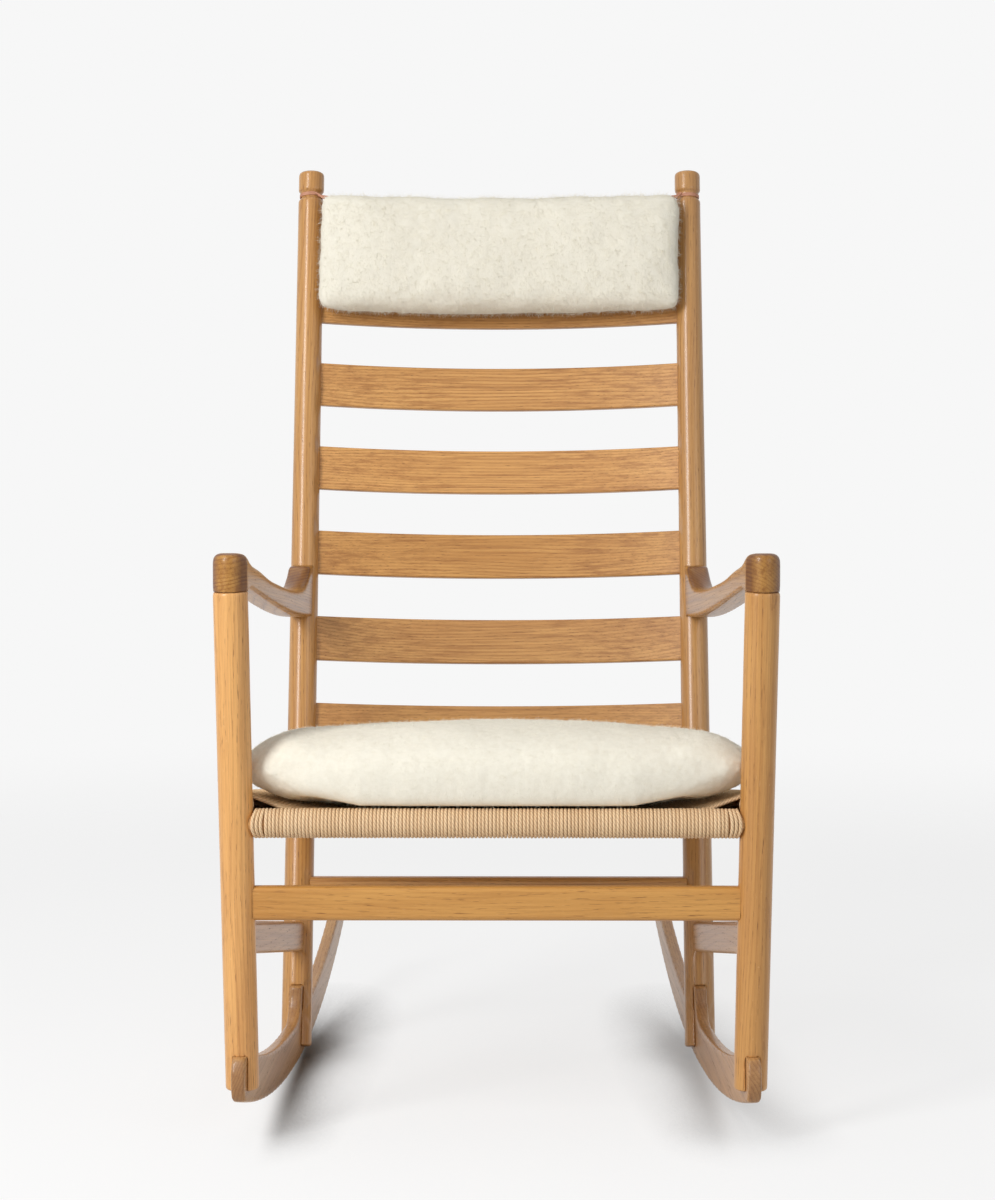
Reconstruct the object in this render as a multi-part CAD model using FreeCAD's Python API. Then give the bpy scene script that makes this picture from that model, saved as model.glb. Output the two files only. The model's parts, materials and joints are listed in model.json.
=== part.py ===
"""Ladder-back rocking chair in oiled oak with a woven paper-cord seat, a loose wool seat
cushion and a wool neck pillow tied to the tops of the back posts.

Lengths are in millimetres. X runs to the sitter's left (the viewer's right), the chair faces -Y
and +Z is up. While the pieces are made, Y is counted from the line through the two front legs.
At the end everything is moved so that the origin is the middle of the footprint on the floor.
"""
import FreeCAD, Part
import math
import os

V = FreeCAD.Vector
UP = V(0, 0, 1)
ACROSS = V(1, 0, 0)

# Overall stance
arm_height = 601.0             # underside of the arms above the front legs
front_leg_top_x = 289.5        # middle of a front leg under the arm
front_leg_foot_x = 278.1       # the legs stand closer together at the floor
front_leg_foot_z = 55.0
post_x = 247.5                 # middle of a back post, the same all the way up
post_foot_y = 367.0            # where the line of the post would meet the floor
post_lean_deg = 16.0
post_foot_z = 12.0
post_top_z = 1099.0

# Turned posts and legs
front_leg_top_diameter = 38.5
front_leg_foot_diameter = 37.0
post_foot_diameter = 37.5
post_top_diameter = 33.5
turned_edge = 1.5              # small chamfer on turned ends
finial_height = 30.0
finial_diameter = 33.4
finial_round = 3.0
finial_chamfer = 4.0
neck_height = 8.0
neck_diameter = 27.0

# Fits of the joints
joint_fit = 0.1                # room all round a tenon
tenon_end_room = 1.0           # room past the end of a tenon
cut_overrun = 5.0
leg_tenon_diameter = 22.0
leg_tenon_length = 26.0

# Rockers
rocker_radius = 1029.0
rocker_front_radius = 1200.0    # of the running edge in front of the resting line
rocker_low_y = 304.8           # the chair rests balanced on this line
rocker_thickness = 15.5
rocker_height = 47.0
rocker_tail_height = 33.0
rocker_nose = 33.0             # reach in front of the middle of the front leg
rocker_tail_y = 790.0
rocker_horn_z = 87.0           # top of the swelling that backs the post
rocker_horn_run = 46.0         # length of the hollow that sweeps up to it
rocker_nose_drop = 1.5          # of its top, below the board at the middle of the leg
rocker_nose_round = 9.0
rocker_tail_round = 14.0
rocker_rest_half = 12.0        # half the middle stretch of the running edge
rocker_sweep_share = 0.78       # the hollow's middle point: along its run
rocker_sweep_rise_share = 0.30  # and up its height
rocker_tip_share = 1.25         # reach of the tail's tip past its lower corner, in tail rounds

# Back slats
slat_count = 7
slat_low_rise = 112.0          # middle of the lowest slat over the back seat rail
slat_top_drop = 63.0           # middle of the uppermost slat below the posts' tops
slat_height = 56.5
slat_thickness = 9.0
slat_bow = 31.0                # how far the middle sits behind the ends
slat_tenon = 15.0              # how far a slat runs into a post
slat_edge_round = 2.0

# Seat frame
seat_slope = 0.146             # drop per length from front to back
front_rail_z = 347.5
side_rail_rise = 20.12         # of the side rails' line over the front rail, at the front legs
rail_diameter = 24.5
rail_tenon_diameter = 14.0
rail_tenon_length = 18.0
cord_diameter = 4.0
corner_gap = 17.0              # bare stretch beside each front leg
weave_middle_drop = 17.5       # of the woven faces' middles below the front rail
weave_under_drop = 43.5
weave_middle_half = 58.0
weave_middle_share = 0.518     # of the way from the front rail to the back one
weave_clearance = 0.3
weave_end_share = 0.62         # where the side wraps stop before the post, in post diameters

# Stretchers
stretcher_thickness = 18.0
stretcher_edge_round = 6.0
stretcher_tenon_length = 16.0
stretcher_tenon_thickness = 10.0
stretcher_tenon_shoulder = 5.0
front_stretcher_z = 260.0
front_stretcher_height = 37.5
back_stretcher_z = 194.5
back_stretcher_height = 35.5
side_stretcher_front_z = 222.0
side_stretcher_back_z = 140.5
side_stretcher_height = 36.5

# Arms
arm_width = 38.5
arm_back_width = 28.0
arm_back_x = 249.0
arm_head_height = 42.0
arm_head_round = 8.0           # of the top edges at the head, less and less towards the post
arm_top_round = 3.0            # and at the post
arm_hook_length = 12.0         # along the top of the raised end at the post
arm_hook_drop = 8.0            # heights of the arm's back end, below its underside at the leg
arm_back_under_drop = 72.0
arm_dowel_diameter = 10.0
arm_dowel_length = 52.0
arm_dowel_drop = 48.0
dowel_in_arm_share = 0.62
# Side view of an arm: shares of its length, and heights above the leg in shares of the head
arm_top_shares = ((-0.036, 0.97), (0.0, 0.99), (0.045, 0.80), (0.175, 0.44), (0.32, 0.06),
                  (0.50, -0.31), (0.775, -0.74), (0.838, -0.735), (0.899, -0.52))
arm_under_shares = ((0.80, -1.55), (0.44, -0.88), (0.052, 0.03))
# Plan of an arm's outer side: shares of its length, and of half the width of its head
arm_outer_shares = ((0.06, 0.90), (0.15, 0.67), (0.30, 0.61), (0.62, 0.69))

# Seat cushion
cushion_front_gap = 4.0        # behind the middle of the front rail
cushion_back_gap = 16.0        # in front of the middle of the back rail
cushion_front_overhang = 9.3   # past the middle lines of the front legs
cushion_back_inset = 21.5      # inside the middle lines of the posts
cushion_rise = 56.5            # of the seam's front edge over the front rail
cushion_crown = 51.0
cushion_belly = 40.0
cushion_seam = 7.0
cushion_draw_in = 8.0
cushion_corner_round = 56.0
cushion_leg_room = 1.0
cushion_core_inset = 9.0
cushion_seat_room = 0.4

# Stuffed shapes: places of the arcs in a section, number of sections, and how blunt the curves are
section_shares = (-1.0, -0.93, -0.72, 0.0, 0.72, 0.93, 1.0)
station_count = 11
section_fullness = 2.8
station_fullness = 3.0
end_swell_share = 0.14

# Neck pillow
pillow_end_inset = 14.5         # of its ends inside the middle lines of the posts
pillow_top_drop = 37.0         # below the posts' tops
pillow_height = 155.0          # along the posts
pillow_depth = 64.0
pillow_seam = 6.0
pillow_front_offset = 26.6     # seam plane in front of the posts' middle line, at its ends
pillow_bow = 20.0              # how far the middle follows the slats back
pillow_corner_round = 9.0

# Straps of the neck pillow
strap_width = 5.0
strap_thickness = 2.5
strap_tab_length = 30.0
strap_fit = 0.3
strap_pillow_gap = 0.8

LEAN = math.radians(post_lean_deg)
RISE = V(0, math.sin(LEAN), math.cos(LEAN))      # up along a post
BACK = V(0, math.cos(LEAN), -math.sin(LEAN))     # square to the posts, to the back
LEG_SPREAD = (front_leg_top_x - front_leg_foot_x) / (arm_height - front_leg_foot_z)
wrap_radius = rail_diameter / 2 + weave_clearance + cord_diameter
side_rail_z = front_rail_z + side_rail_rise
slat_top_z = post_top_z - slat_top_drop
arm_hook_z = arm_height - arm_hook_drop
arm_back_under_z = arm_height - arm_back_under_drop
arm_dowel_z = arm_height - arm_dowel_drop
cushion_front_y = cushion_front_gap
cushion_front_z = front_rail_z + cushion_rise
cushion_front_half_width = front_leg_top_x + cushion_front_overhang
cushion_back_half_width = post_x - cushion_back_inset
pillow_half_width = post_x - pillow_end_inset


def leg_x(z):
    """Middle of the right front leg at a height."""
    return front_leg_foot_x + (z - front_leg_foot_z) * LEG_SPREAD


def post_y(z):
    """Middle of a post at a height."""
    return post_foot_y + z * math.tan(LEAN)


def post_point(side, z):
    return V(side * post_x, post_y(z), z)


def leg_point(side, z):
    return V(side * leg_x(z), 0, z)


def post_radius(z):
    share = (z - post_foot_z) / (post_top_z - post_foot_z)
    return (post_foot_diameter + (post_top_diameter - post_foot_diameter) * share) / 2


def leg_radius(z):
    share = (z - front_leg_foot_z) / (arm_height - front_leg_foot_z)
    return (front_leg_foot_diameter + (front_leg_top_diameter - front_leg_foot_diameter) * share) / 2


def frame_of(origin, x_axis, y_axis, z_axis):
    """Placement whose local axes are the three given unit vectors."""
    matrix = FreeCAD.Matrix(
        x_axis.x, y_axis.x, z_axis.x, origin.x,
        x_axis.y, y_axis.y, z_axis.y, origin.y,
        x_axis.z, y_axis.z, z_axis.z, origin.z,
        0, 0, 0, 1)
    return FreeCAD.Placement(matrix)


def rod(start, end, radius):
    along = end - start
    return Part.makeCylinder(radius, along.Length, start, along)


def polygon_face(points):
    return Part.Face(Part.makePolygon(points + [points[0]]))


def bar(start, end, height, thickness, edge_round=0.0):
    """Straight bar of rectangular section whose long edges may be rounded. Height runs upward."""
    along = end - start
    length = along.Length
    along.normalize()
    side = along.cross(UP)
    side.normalize()
    upward = side.cross(along)
    block = Part.makeBox(length, thickness, height, V(0, -thickness / 2, -height / 2))
    if edge_round:
        long_edges = [e for e in block.Edges if abs(e.Length - length) < edge_round / 10]
        block = block.makeFillet(edge_round, long_edges)
    block.Placement = frame_of(start, along, side * -1, upward)
    return block


def turned(profile_points, base, along):
    """Solid of revolution from (radius, distance) pairs, about a line through base."""
    outline = [V(radius, 0, distance) for radius, distance in profile_points]
    solid = polygon_face(outline).revolve(V(0, 0, 0), UP, 360)
    direction = V(along)
    direction.normalize()
    solid.Placement = FreeCAD.Placement(base, FreeCAD.Rotation(UP, direction))
    return solid


def post_blank(side):
    """Turned post with its necked finial."""
    foot = post_point(side, post_foot_z)
    length = (post_top_z - post_foot_z) / math.cos(LEAN)
    foot_r = post_foot_diameter / 2
    top_r = post_top_diameter / 2
    fin_r = finial_diameter / 2
    neck_r = neck_diameter / 2
    fin_base = length - finial_height
    neck_base = fin_base - neck_height
    profile = [
        (0, 0), (foot_r - turned_edge, 0), (foot_r, turned_edge),
        (top_r, neck_base - turned_edge), (top_r - turned_edge, neck_base),
        (neck_r, neck_base), (neck_r, fin_base),
        (fin_r - finial_chamfer, fin_base), (fin_r, fin_base + finial_chamfer),
        (fin_r, length - finial_round)]
    steps = 4
    for step in range(1, steps + 1):
        turn = math.pi / 2 * step / steps
        profile.append((fin_r - finial_round * 2 * (1 - math.cos(turn)),
                        length - finial_round * (1 - math.sin(turn))))
    profile.append((0, length))
    return turned(profile, foot, RISE)


def leg_blank(side):
    """Turned front leg with the round tenon on its top."""
    foot = leg_point(side, front_leg_foot_z)
    top = leg_point(side, arm_height)
    along = top - foot
    length = along.Length
    foot_r = front_leg_foot_diameter / 2
    top_r = front_leg_top_diameter / 2
    tenon_r = leg_tenon_diameter / 2
    profile = [
        (0, 0), (foot_r - turned_edge, 0), (foot_r, turned_edge),
        (top_r, length - turned_edge), (top_r - turned_edge, length),
        (tenon_r, length), (tenon_r, length + leg_tenon_length), (0, length + leg_tenon_length)]
    return turned(profile, foot, along)


def rocker_placement(side):
    """Local x runs back along the rocker, local y up, local z across it."""
    start = V(side * front_leg_foot_x, 0, 0)
    end = V(side * post_x, post_y(post_foot_z), 0)
    along = end - start
    along.normalize()
    return frame_of(start, along, UP, along.cross(UP))


def rocker(side):
    """Bent board that stands on an arc and sweeps up in a horn in front of the post."""
    low = rocker_low_y
    upper = rocker_radius - rocker_height

    def on_arc(x, radius, centre_z=rocker_radius):
        return V(x, centre_z - math.sqrt(radius ** 2 - (x - low) ** 2), 0)

    def on_front(x):
        return on_arc(x, rocker_front_radius, rocker_front_radius)

    def arc(start_x, end_x, radius):
        return Part.Arc(on_arc(start_x, radius), on_arc((start_x + end_x) / 2, radius),
                        on_arc(end_x, radius)).toShape()

    nose_x = -rocker_nose
    tail_x = rocker_tail_y
    horn_front = post_y(rocker_horn_z) - post_foot_diameter / 2 - rocker_thickness / 2
    horn_back = post_y(rocker_horn_z) + post_foot_diameter / 4
    sweep_start = horn_front - rocker_horn_run
    tail_start = horn_back + rocker_height / 2
    nose_r = rocker_nose_round
    tail_r = rocker_tail_round

    nose_low = on_front(nose_x + nose_r)
    nose_begin = on_arc(0, upper)
    nose_high = V(nose_low.x, nose_begin.y - rocker_nose_drop, 0)
    rest_front = low - rocker_rest_half
    nose_mid = (nose_low + nose_high) / 2 - V(nose_r, 0, 0)
    tail_low = on_arc(tail_x - tail_r, rocker_radius)
    tail_high = tail_low + V(-tail_r / 2, rocker_tail_height, 0)
    tail_tip = (tail_low + tail_high) / 2 + V(tail_r * rocker_tip_share, 0, 0)
    tail_begin = on_arc(tail_start, upper)
    half_way = (tail_begin + tail_high) / 2
    sag = (tail_high.x - tail_begin.x) ** 2 / (8 * rocker_radius)
    tail_middle = half_way - V(0, sag, 0)

    sweep_low = on_arc(sweep_start, upper)
    horn_corner = V(horn_front, rocker_horn_z, 0)
    sweep_mid = V(sweep_low.x + rocker_horn_run * rocker_sweep_share,
                  sweep_low.y + (rocker_horn_z - sweep_low.y) * rocker_sweep_rise_share, 0)
    horn_end = V(horn_back, rocker_horn_z, 0)

    edges = [
        Part.Arc(nose_low, on_front((nose_low.x + rest_front) / 2), on_front(rest_front)).toShape(),
        Part.Arc(on_front(rest_front), on_front((rest_front + low) / 2), on_front(low)).toShape(),
        arc(low, low + rocker_rest_half, rocker_radius),
        arc(low + rocker_rest_half, tail_low.x, rocker_radius),
        Part.Arc(tail_low, tail_tip, tail_high).toShape(),
        Part.Arc(tail_high, tail_middle, tail_begin).toShape(),
        Part.LineSegment(tail_begin, horn_end).toShape(),
        Part.LineSegment(horn_end, horn_corner).toShape(),
        Part.Arc(horn_corner, sweep_mid, sweep_low).toShape(),
        arc(sweep_low.x, nose_begin.x, upper),
        Part.LineSegment(nose_begin, nose_high).toShape(),
        Part.Arc(nose_high, nose_mid, nose_low).toShape()]
    outline = Part.Wire(Part.__sortEdges__(edges))
    board = Part.Face(outline).extrude(V(0, 0, rocker_thickness))
    board.translate(V(0, 0, -rocker_thickness / 2))
    board.Placement = rocker_placement(side).multiply(board.Placement)
    return board


def slat_circle():
    """Radius of a slat's bow and the place of its centre in front of the posts."""
    half = post_x - post_top_diameter / 2 + slat_tenon
    radius = (half ** 2 + slat_bow ** 2) / (2 * slat_bow)
    return half, radius, slat_bow - radius


def slat_middle(index):
    """Middle of a slat's ends. The slats share the height between the top one and the seat evenly."""
    low_z = seat_line_back_z(front_rail_z) + slat_low_rise
    drop = (slat_top_z - low_z) / math.cos(LEAN) * index / (slat_count - 1)
    return V(0, post_y(slat_top_z), slat_top_z) - RISE * drop


def rounded_section(near, far, height, edge_round):
    """Upright rectangle across the plane X = 0, from near to far along Y, with rounded corners."""
    low, high = -height / 2, height / 2
    corners = [V(0, near, low), V(0, far, low), V(0, far, high), V(0, near, high)]
    if not edge_round:
        return polygon_face(corners)
    edges = []
    for index, corner in enumerate(corners):
        before = corners[index - 1] - corner
        after = corners[(index + 1) % len(corners)] - corner
        before.normalize()
        after.normalize()
        first = corner + before * edge_round
        last = corner + after * edge_round
        centre = first + after * edge_round
        inward = corner - centre
        inward.normalize()
        edges.append(Part.Arc(first, centre + inward * edge_round, last).toShape())
    pieces = []
    for index, edge in enumerate(edges):
        following = edges[(index + 1) % len(edges)]
        pieces.append(edge)
        pieces.append(Part.LineSegment(edge.Vertexes[-1].Point, following.Vertexes[0].Point).toShape())
    return Part.Face(Part.Wire(pieces))


def slat(index, grow=0.0):
    """Bowed slat. Its ends run into the posts, and grow makes the tool for their mortises."""
    half, radius, centre = slat_circle()
    half = half + grow * tenon_end_room / joint_fit
    turn = math.degrees(math.asin(half / radius))
    near = radius - slat_thickness / 2 - grow
    far = radius + slat_thickness / 2 + grow
    section = rounded_section(near, far, slat_height + 2 * grow, 0 if grow else slat_edge_round)
    section.rotate(V(0, 0, 0), UP, -turn)
    solid = section.revolve(V(0, 0, 0), UP, 2 * turn)
    solid.translate(V(0, centre, 0))
    solid.Placement = frame_of(slat_middle(index), ACROSS, BACK, RISE).multiply(solid.Placement)
    return solid


def seat_line_back_z(front_z):
    """Height where a line that starts at the front legs and falls with the seat meets the posts."""
    return (front_z - seat_slope * post_foot_y) / (1 + seat_slope * math.tan(LEAN))


def rail_lines():
    """Middle lines of the four rails as (start, end) points inside the legs and posts."""
    back_z = seat_line_back_z(front_rail_z)
    side_back_z = seat_line_back_z(side_rail_z)
    lines = {
        "front": (leg_point(-1, front_rail_z), leg_point(1, front_rail_z)),
        "back": (post_point(-1, back_z), post_point(1, back_z))}
    for name, side in (("left", -1), ("right", 1)):
        lines[name] = (leg_point(side, side_rail_z), post_point(side, side_back_z))
    return lines


def seat_rail(line, blanks):
    """Round rail between two uprights, with a thinner round tenon at each end."""
    start, end = line
    body = rod(start, end, rail_diameter / 2)
    for blank in blanks:
        body = body.cut(blank)
    return body


def round_tenons(line, radii, grow=0.0):
    """The two tenons of a rail, from near each upright's middle to past its surface."""
    start, end = line
    along = end - start
    along.normalize()
    radius = rail_tenon_diameter / 2 + grow
    extra = grow * tenon_end_room / joint_fit
    first = rod(start + along * (radii[0] - rail_tenon_length - extra),
                start + along * (radii[0] + cut_overrun), radius)
    last = rod(end - along * (radii[1] - rail_tenon_length - extra),
               end - along * (radii[1] + cut_overrun), radius)
    return first, last


def flat_tenons(line, height, radii, grow=0.0):
    """The two flat tenons of a stretcher."""
    start, end = line
    along = end - start
    along.normalize()
    tenon_height = height - 2 * stretcher_tenon_shoulder + 2 * grow
    thickness = stretcher_tenon_thickness + 2 * grow
    extra = grow * tenon_end_room / joint_fit
    first = bar(start + along * (radii[0] - stretcher_tenon_length - extra),
                start + along * (radii[0] + cut_overrun), tenon_height, thickness)
    last = bar(end - along * (radii[1] - stretcher_tenon_length - extra),
               end - along * (radii[1] + cut_overrun), tenon_height, thickness)
    return first, last


def stretcher_lines():
    lines = {
        "front": (leg_point(-1, front_stretcher_z), leg_point(1, front_stretcher_z)),
        "back": (post_point(-1, back_stretcher_z), post_point(1, back_stretcher_z))}
    for name, side in (("left", -1), ("right", 1)):
        lines[name] = (leg_point(side, side_stretcher_front_z),
                       post_point(side, side_stretcher_back_z))
    return lines


def arm_placement(side):
    """Local x runs back from the leg to the post, local y up, local z across."""
    start = V(side * front_leg_top_x, 0, 0)
    end = V(side * arm_back_x, post_y(arm_dowel_z), 0)
    along = end - start
    along.normalize()
    return frame_of(start, along, UP, along.cross(UP))


def arm_length():
    return math.hypot(front_leg_top_x - arm_back_x, post_y(arm_dowel_z))


def arm(side, post, leg_tenon):
    """Scooped arm: a tall rounded head over the leg and a raised hook against the post."""
    length = arm_length()
    top_z = arm_height + arm_head_height
    front_r = arm_width / 2
    post_front = length - post_top_diameter / 2
    hook_start = post_front - arm_hook_length
    past_post = length + cut_overrun

    def at(shares):
        return V(length * shares[0], arm_height + arm_head_height * shares[1], 0)

    hook_top = V(hook_start, arm_hook_z, 0)
    hook_back = V(past_post, arm_hook_z, 0)
    under_back = V(past_post, arm_back_under_z, 0)
    under_end = V(post_front - front_r / 2, arm_back_under_z, 0)
    under_leg = V(front_r, arm_height, 0)
    under_front = V(-front_r - cut_overrun, arm_height, 0)
    head_front = V(-front_r - cut_overrun, at(arm_top_shares[0]).y, 0)
    top_curve = Part.BSplineCurve()
    top_curve.interpolate([head_front] + [at(shares) for shares in arm_top_shares[1:]] + [hook_top])
    under_curve = Part.BSplineCurve()
    under_curve.interpolate([under_end] + [at(shares) for shares in arm_under_shares])
    edges = [
        top_curve.toShape(),
        Part.LineSegment(hook_top, hook_back).toShape(),
        Part.LineSegment(hook_back, under_back).toShape(),
        Part.LineSegment(under_back, under_end).toShape(),
        under_curve.toShape(),
        Part.LineSegment(at(arm_under_shares[-1]), under_leg).toShape(),
        Part.LineSegment(under_leg, under_front).toShape(),
        Part.LineSegment(under_front, head_front).toShape()]
    side_face = Part.Face(Part.Wire(Part.__sortEdges__(edges)))
    profile = side_face.extrude(V(0, 0, 2 * arm_width))
    profile.translate(V(0, 0, -arm_width))

    back_r = arm_back_width / 2
    head_inner = V(0, 0, -side * front_r)
    head_outer = V(0, 0, side * front_r)
    back_inner = V(past_post, 0, -side * back_r)
    back_outer = V(past_post, 0, side * back_r)
    outer_curve = Part.BSplineCurve()
    outer_curve.interpolate(
        [head_outer] + [V(length * along, 0, side * front_r * out) for along, out in arm_outer_shares]
        + [back_outer])
    plan_edges = [
        Part.Arc(head_outer, V(-front_r, 0, 0), head_inner).toShape(),
        Part.LineSegment(head_inner, back_inner).toShape(),
        Part.LineSegment(back_inner, back_outer).toShape(),
        outer_curve.toShape()]
    plan_face = Part.Face(Part.Wire(Part.__sortEdges__(plan_edges)))
    plan = plan_face.extrude(V(0, 2 * top_z, 0))

    solid = largest(profile.common(plan))
    solid = round_arm_top(solid, length)
    solid.Placement = arm_placement(side).multiply(solid.Placement)
    behind = Part.makeBox(4 * arm_width, 4 * arm_width, 4 * arm_width,
                          V(-2 * arm_width, 0, -2 * arm_width))
    behind.Placement = frame_of(V(side * post_x, post_y(arm_dowel_z), arm_dowel_z),
                                ACROSS, BACK, RISE).multiply(behind.Placement)
    return largest(solid.cut(behind).cut(post).cut(leg_tenon))


def round_arm_top(solid, length):
    """Rounds an arm's top edges: most round its head, and less and less towards the post."""
    document = FreeCAD.newDocument()
    base = document.addObject("Part::Feature", "arm")
    base.Shape = solid
    rounding = document.addObject("Part::Fillet", "rounding")
    rounding.Base = base
    radii = []
    for index, edge in enumerate(solid.Edges, start=1):
        box = edge.BoundBox
        at_hook = abs(edge.CenterOfMass.y - arm_hook_z) < arm_top_round
        if box.YMin > arm_height + arm_head_height / 2:
            radii.append((index, arm_head_round, arm_head_round))
        elif box.XLength > length / 2 and box.YMax > arm_height + arm_head_height / 2:
            radii.append((index, arm_head_round, arm_top_round))
        elif at_hook and box.XLength > arm_hook_length:
            radii.append((index, arm_top_round, arm_top_round))
    rounding.Edges = radii
    document.recompute()
    rounded = rounding.Shape.copy()
    FreeCAD.closeDocument(document.Name)
    return rounded


def largest(shape):
    return max(shape.Solids, key=lambda solid: solid.Volume)


def arm_dowel(side, grow=0.0):
    """Dowel that pins the coped end of an arm to the post."""
    length = arm_dowel_length + 2 * grow * tenon_end_room / joint_fit
    along = V(0, math.cos(LEAN / 2), -math.sin(LEAN / 2))
    surface = V(side * arm_back_x, post_y(arm_dowel_z), arm_dowel_z) - BACK * (post_top_diameter / 2)
    start = surface - along * (length * dowel_in_arm_share)
    return rod(start, start + along * length, arm_dowel_diameter / 2 + grow)


def weave_points():
    """Corners of the woven sheet on the left half, as (x, y, upper z, lower z)."""
    lines = rail_lines()
    front_x = leg_x(front_rail_z) - front_leg_top_diameter / 2 - corner_gap
    back_y = lines["back"][0].y
    back_z = lines["back"][0].z
    back_x = post_x - post_foot_diameter / 2 - cord_diameter
    side_front_y = leg_radius(side_rail_z) + cord_diameter
    side_start, side_end = lines["right"]
    side_back_y = back_y - post_foot_diameter * weave_end_share

    def on_side(y):
        share = (y - side_start.y) / (side_end.y - side_start.y)
        return side_start + (side_end - side_start) * share

    first = on_side(side_front_y)
    last = on_side(side_back_y)
    return {
        "front": (front_x, 0, front_rail_z + wrap_radius, front_rail_z - wrap_radius),
        "side_front": (first.x, first.y, first.z + wrap_radius, first.z - wrap_radius),
        "side_back": (last.x, last.y, last.z + wrap_radius, last.z - wrap_radius),
        "back": (back_x, back_y, back_z + wrap_radius, back_z - wrap_radius),
        "middle": (weave_middle_half, back_y * weave_middle_share,
                   front_rail_z - weave_middle_drop, front_rail_z - weave_under_drop)}


def sheet_prisms(points, upper, thick=cord_diameter):
    """Prisms over the triangles of the woven sheet, from its upper or lower face inwards."""
    level = 2 if upper else 3
    thickness = V(0, 0, -thick if upper else thick)
    prisms = []

    def corner(name, side):
        item = points[name]
        return V(side * item[0], item[1], item[level])

    for ends in ("front", "back"):
        outline = [corner(ends, -1), corner(ends, 1), corner("middle", 1), corner("middle", -1)]
        for triangle in ((outline[0], outline[1], outline[2]), (outline[0], outline[2], outline[3])):
            prisms.append(polygon_face(list(triangle)).extrude(thickness))
    for side in (-1, 1):
        fan = [corner(name, side) for name in ("front", "side_front", "side_back", "back")]
        middle = corner("middle", side)
        for first, second in zip(fan, fan[1:]):
            prisms.append(polygon_face([middle, first, second]).extrude(thickness))
    return prisms


def seat_weave(blanks):
    """Paper cord wound round the four rails and woven across them, hollow between its faces."""
    lines = rail_lines()
    tubes = []
    for start, end in lines.values():
        tubes.append(rod(start, end, wrap_radius))
    points = weave_points()
    sheets = sheet_prisms(points, True) + sheet_prisms(points, False)
    solid = tubes[0].multiFuse(tubes[1:] + sheets)
    for line in lines.values():
        start, end = line
        along = end - start
        along.normalize()
        solid = solid.cut(rod(start - along * cut_overrun, end + along * cut_overrun,
                              rail_diameter / 2 + weave_clearance))
    for blank in blanks:
        solid = solid.cut(blank)
    return largest(solid)


def cushion_seam_z(y):
    return cushion_front_z - (y - cushion_front_y) * seat_slope


def swell(share, fullness):
    """Height left at a share of the way from the middle to the edge of a stuffed shape."""
    return (1 - abs(share) ** fullness) ** (1 / fullness)


def stuffed_wire(middle, reach, out, seam, crown, belly):
    """Closed section of a stuffed shape: three arcs above, three below, and a seam at each end.

    reach runs from the middle of the section to its end and out is the unit vector square to it.
    """
    edges = []
    upper = [middle + reach * share + out * (seam / 2 + crown * swell(share, section_fullness))
             for share in section_shares]
    lower = [middle + reach * share - out * (seam / 2 + belly * swell(share, section_fullness))
             for share in reversed(section_shares)]
    for side in (upper, lower):
        for start in range(0, len(side) - 2, 2):
            edges.append(Part.Arc(side[start], side[start + 1], side[start + 2]).toShape())
    first_seam = Part.LineSegment(upper[-1], lower[0]).toShape()
    last_seam = Part.LineSegment(lower[-1], upper[0]).toShape()
    half = len(edges) // 2
    return Part.Wire(edges[:half] + [first_seam] + edges[half:] + [last_seam])


def stations():
    """Places of the sections along a stuffed shape, closer to its ends, and how full each is."""
    places = []
    for index in range(station_count):
        share = -math.cos(math.pi * index / (station_count - 1))
        places.append((share, max(swell(share, station_fullness), end_swell_share)))
    return places


def corner_narrowing(share, half_length, corner):
    """How far a rounded corner takes in the sides, at a share of the way to the end."""
    left = corner - (1 - abs(share)) * half_length
    if left <= 0:
        return 0
    return corner - math.sqrt(corner ** 2 - left ** 2)


def cushion_solid(inset=0.0):
    """Knife-edged cushion that follows the slope of the seat and rests on the weave."""
    front_y = cushion_front_y + inset
    back_y = rail_lines()["back"][0].y - cushion_back_gap - inset
    middle_y = (front_y + back_y) / 2
    half_length = (back_y - front_y) / 2
    mean_half = (cushion_front_half_width + cushion_back_half_width) / 2
    taper = (cushion_front_half_width - cushion_back_half_width) / 2
    slope = V(0, 1, -seat_slope)
    slope.normalize()
    square = ACROSS.cross(slope)
    wires = []
    for share, full in stations():
        y = middle_y + half_length * share
        half = mean_half - taper * share - inset - cushion_draw_in * (1 - share ** 2)
        half = half - corner_narrowing(share, half_length, cushion_corner_round)
        wires.append(stuffed_wire(V(0, y, cushion_seam_z(y)), ACROSS * half, square,
                                  cushion_seam * full, (cushion_crown - inset) * full,
                                  (cushion_belly - inset) * full))
    body = Part.makeLoft(wires, True, False, False, 3)
    tools = [seat_top_tool(inset)]
    for side in (-1, 1):
        tools.append(rod(leg_point(side, front_leg_foot_z), leg_point(side, arm_height),
                         front_leg_top_diameter / 2 + cushion_leg_room + inset))
    return largest(body.cut(tools))


def seat_top_tool(inset):
    """Everything below the woven seat's upper face, raised by the room under the cushion."""
    room = cushion_seat_room + inset
    points = {}
    for name, (x, y, upper, lower) in weave_points().items():
        points[name] = (x, y, upper + room, lower)
    tools = sheet_prisms(points, True, cushion_front_z)
    for start, end in rail_lines().values():
        tools.append(rod(start, end, wrap_radius + room))
    return tools[0].multiFuse(tools[1:])


def seat_cushion_pieces():
    """Wool cover and the filling inside it."""
    outer = cushion_solid()
    core = cushion_solid(cushion_core_inset)
    return outer.cut(core), core


def pillow_point(drop):
    """Point on the pillow's seam plane at its ends, at a distance below its top edge."""
    high_z = post_top_z - pillow_top_drop
    return V(0, post_y(high_z), high_z) - BACK * pillow_front_offset - RISE * drop


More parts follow.
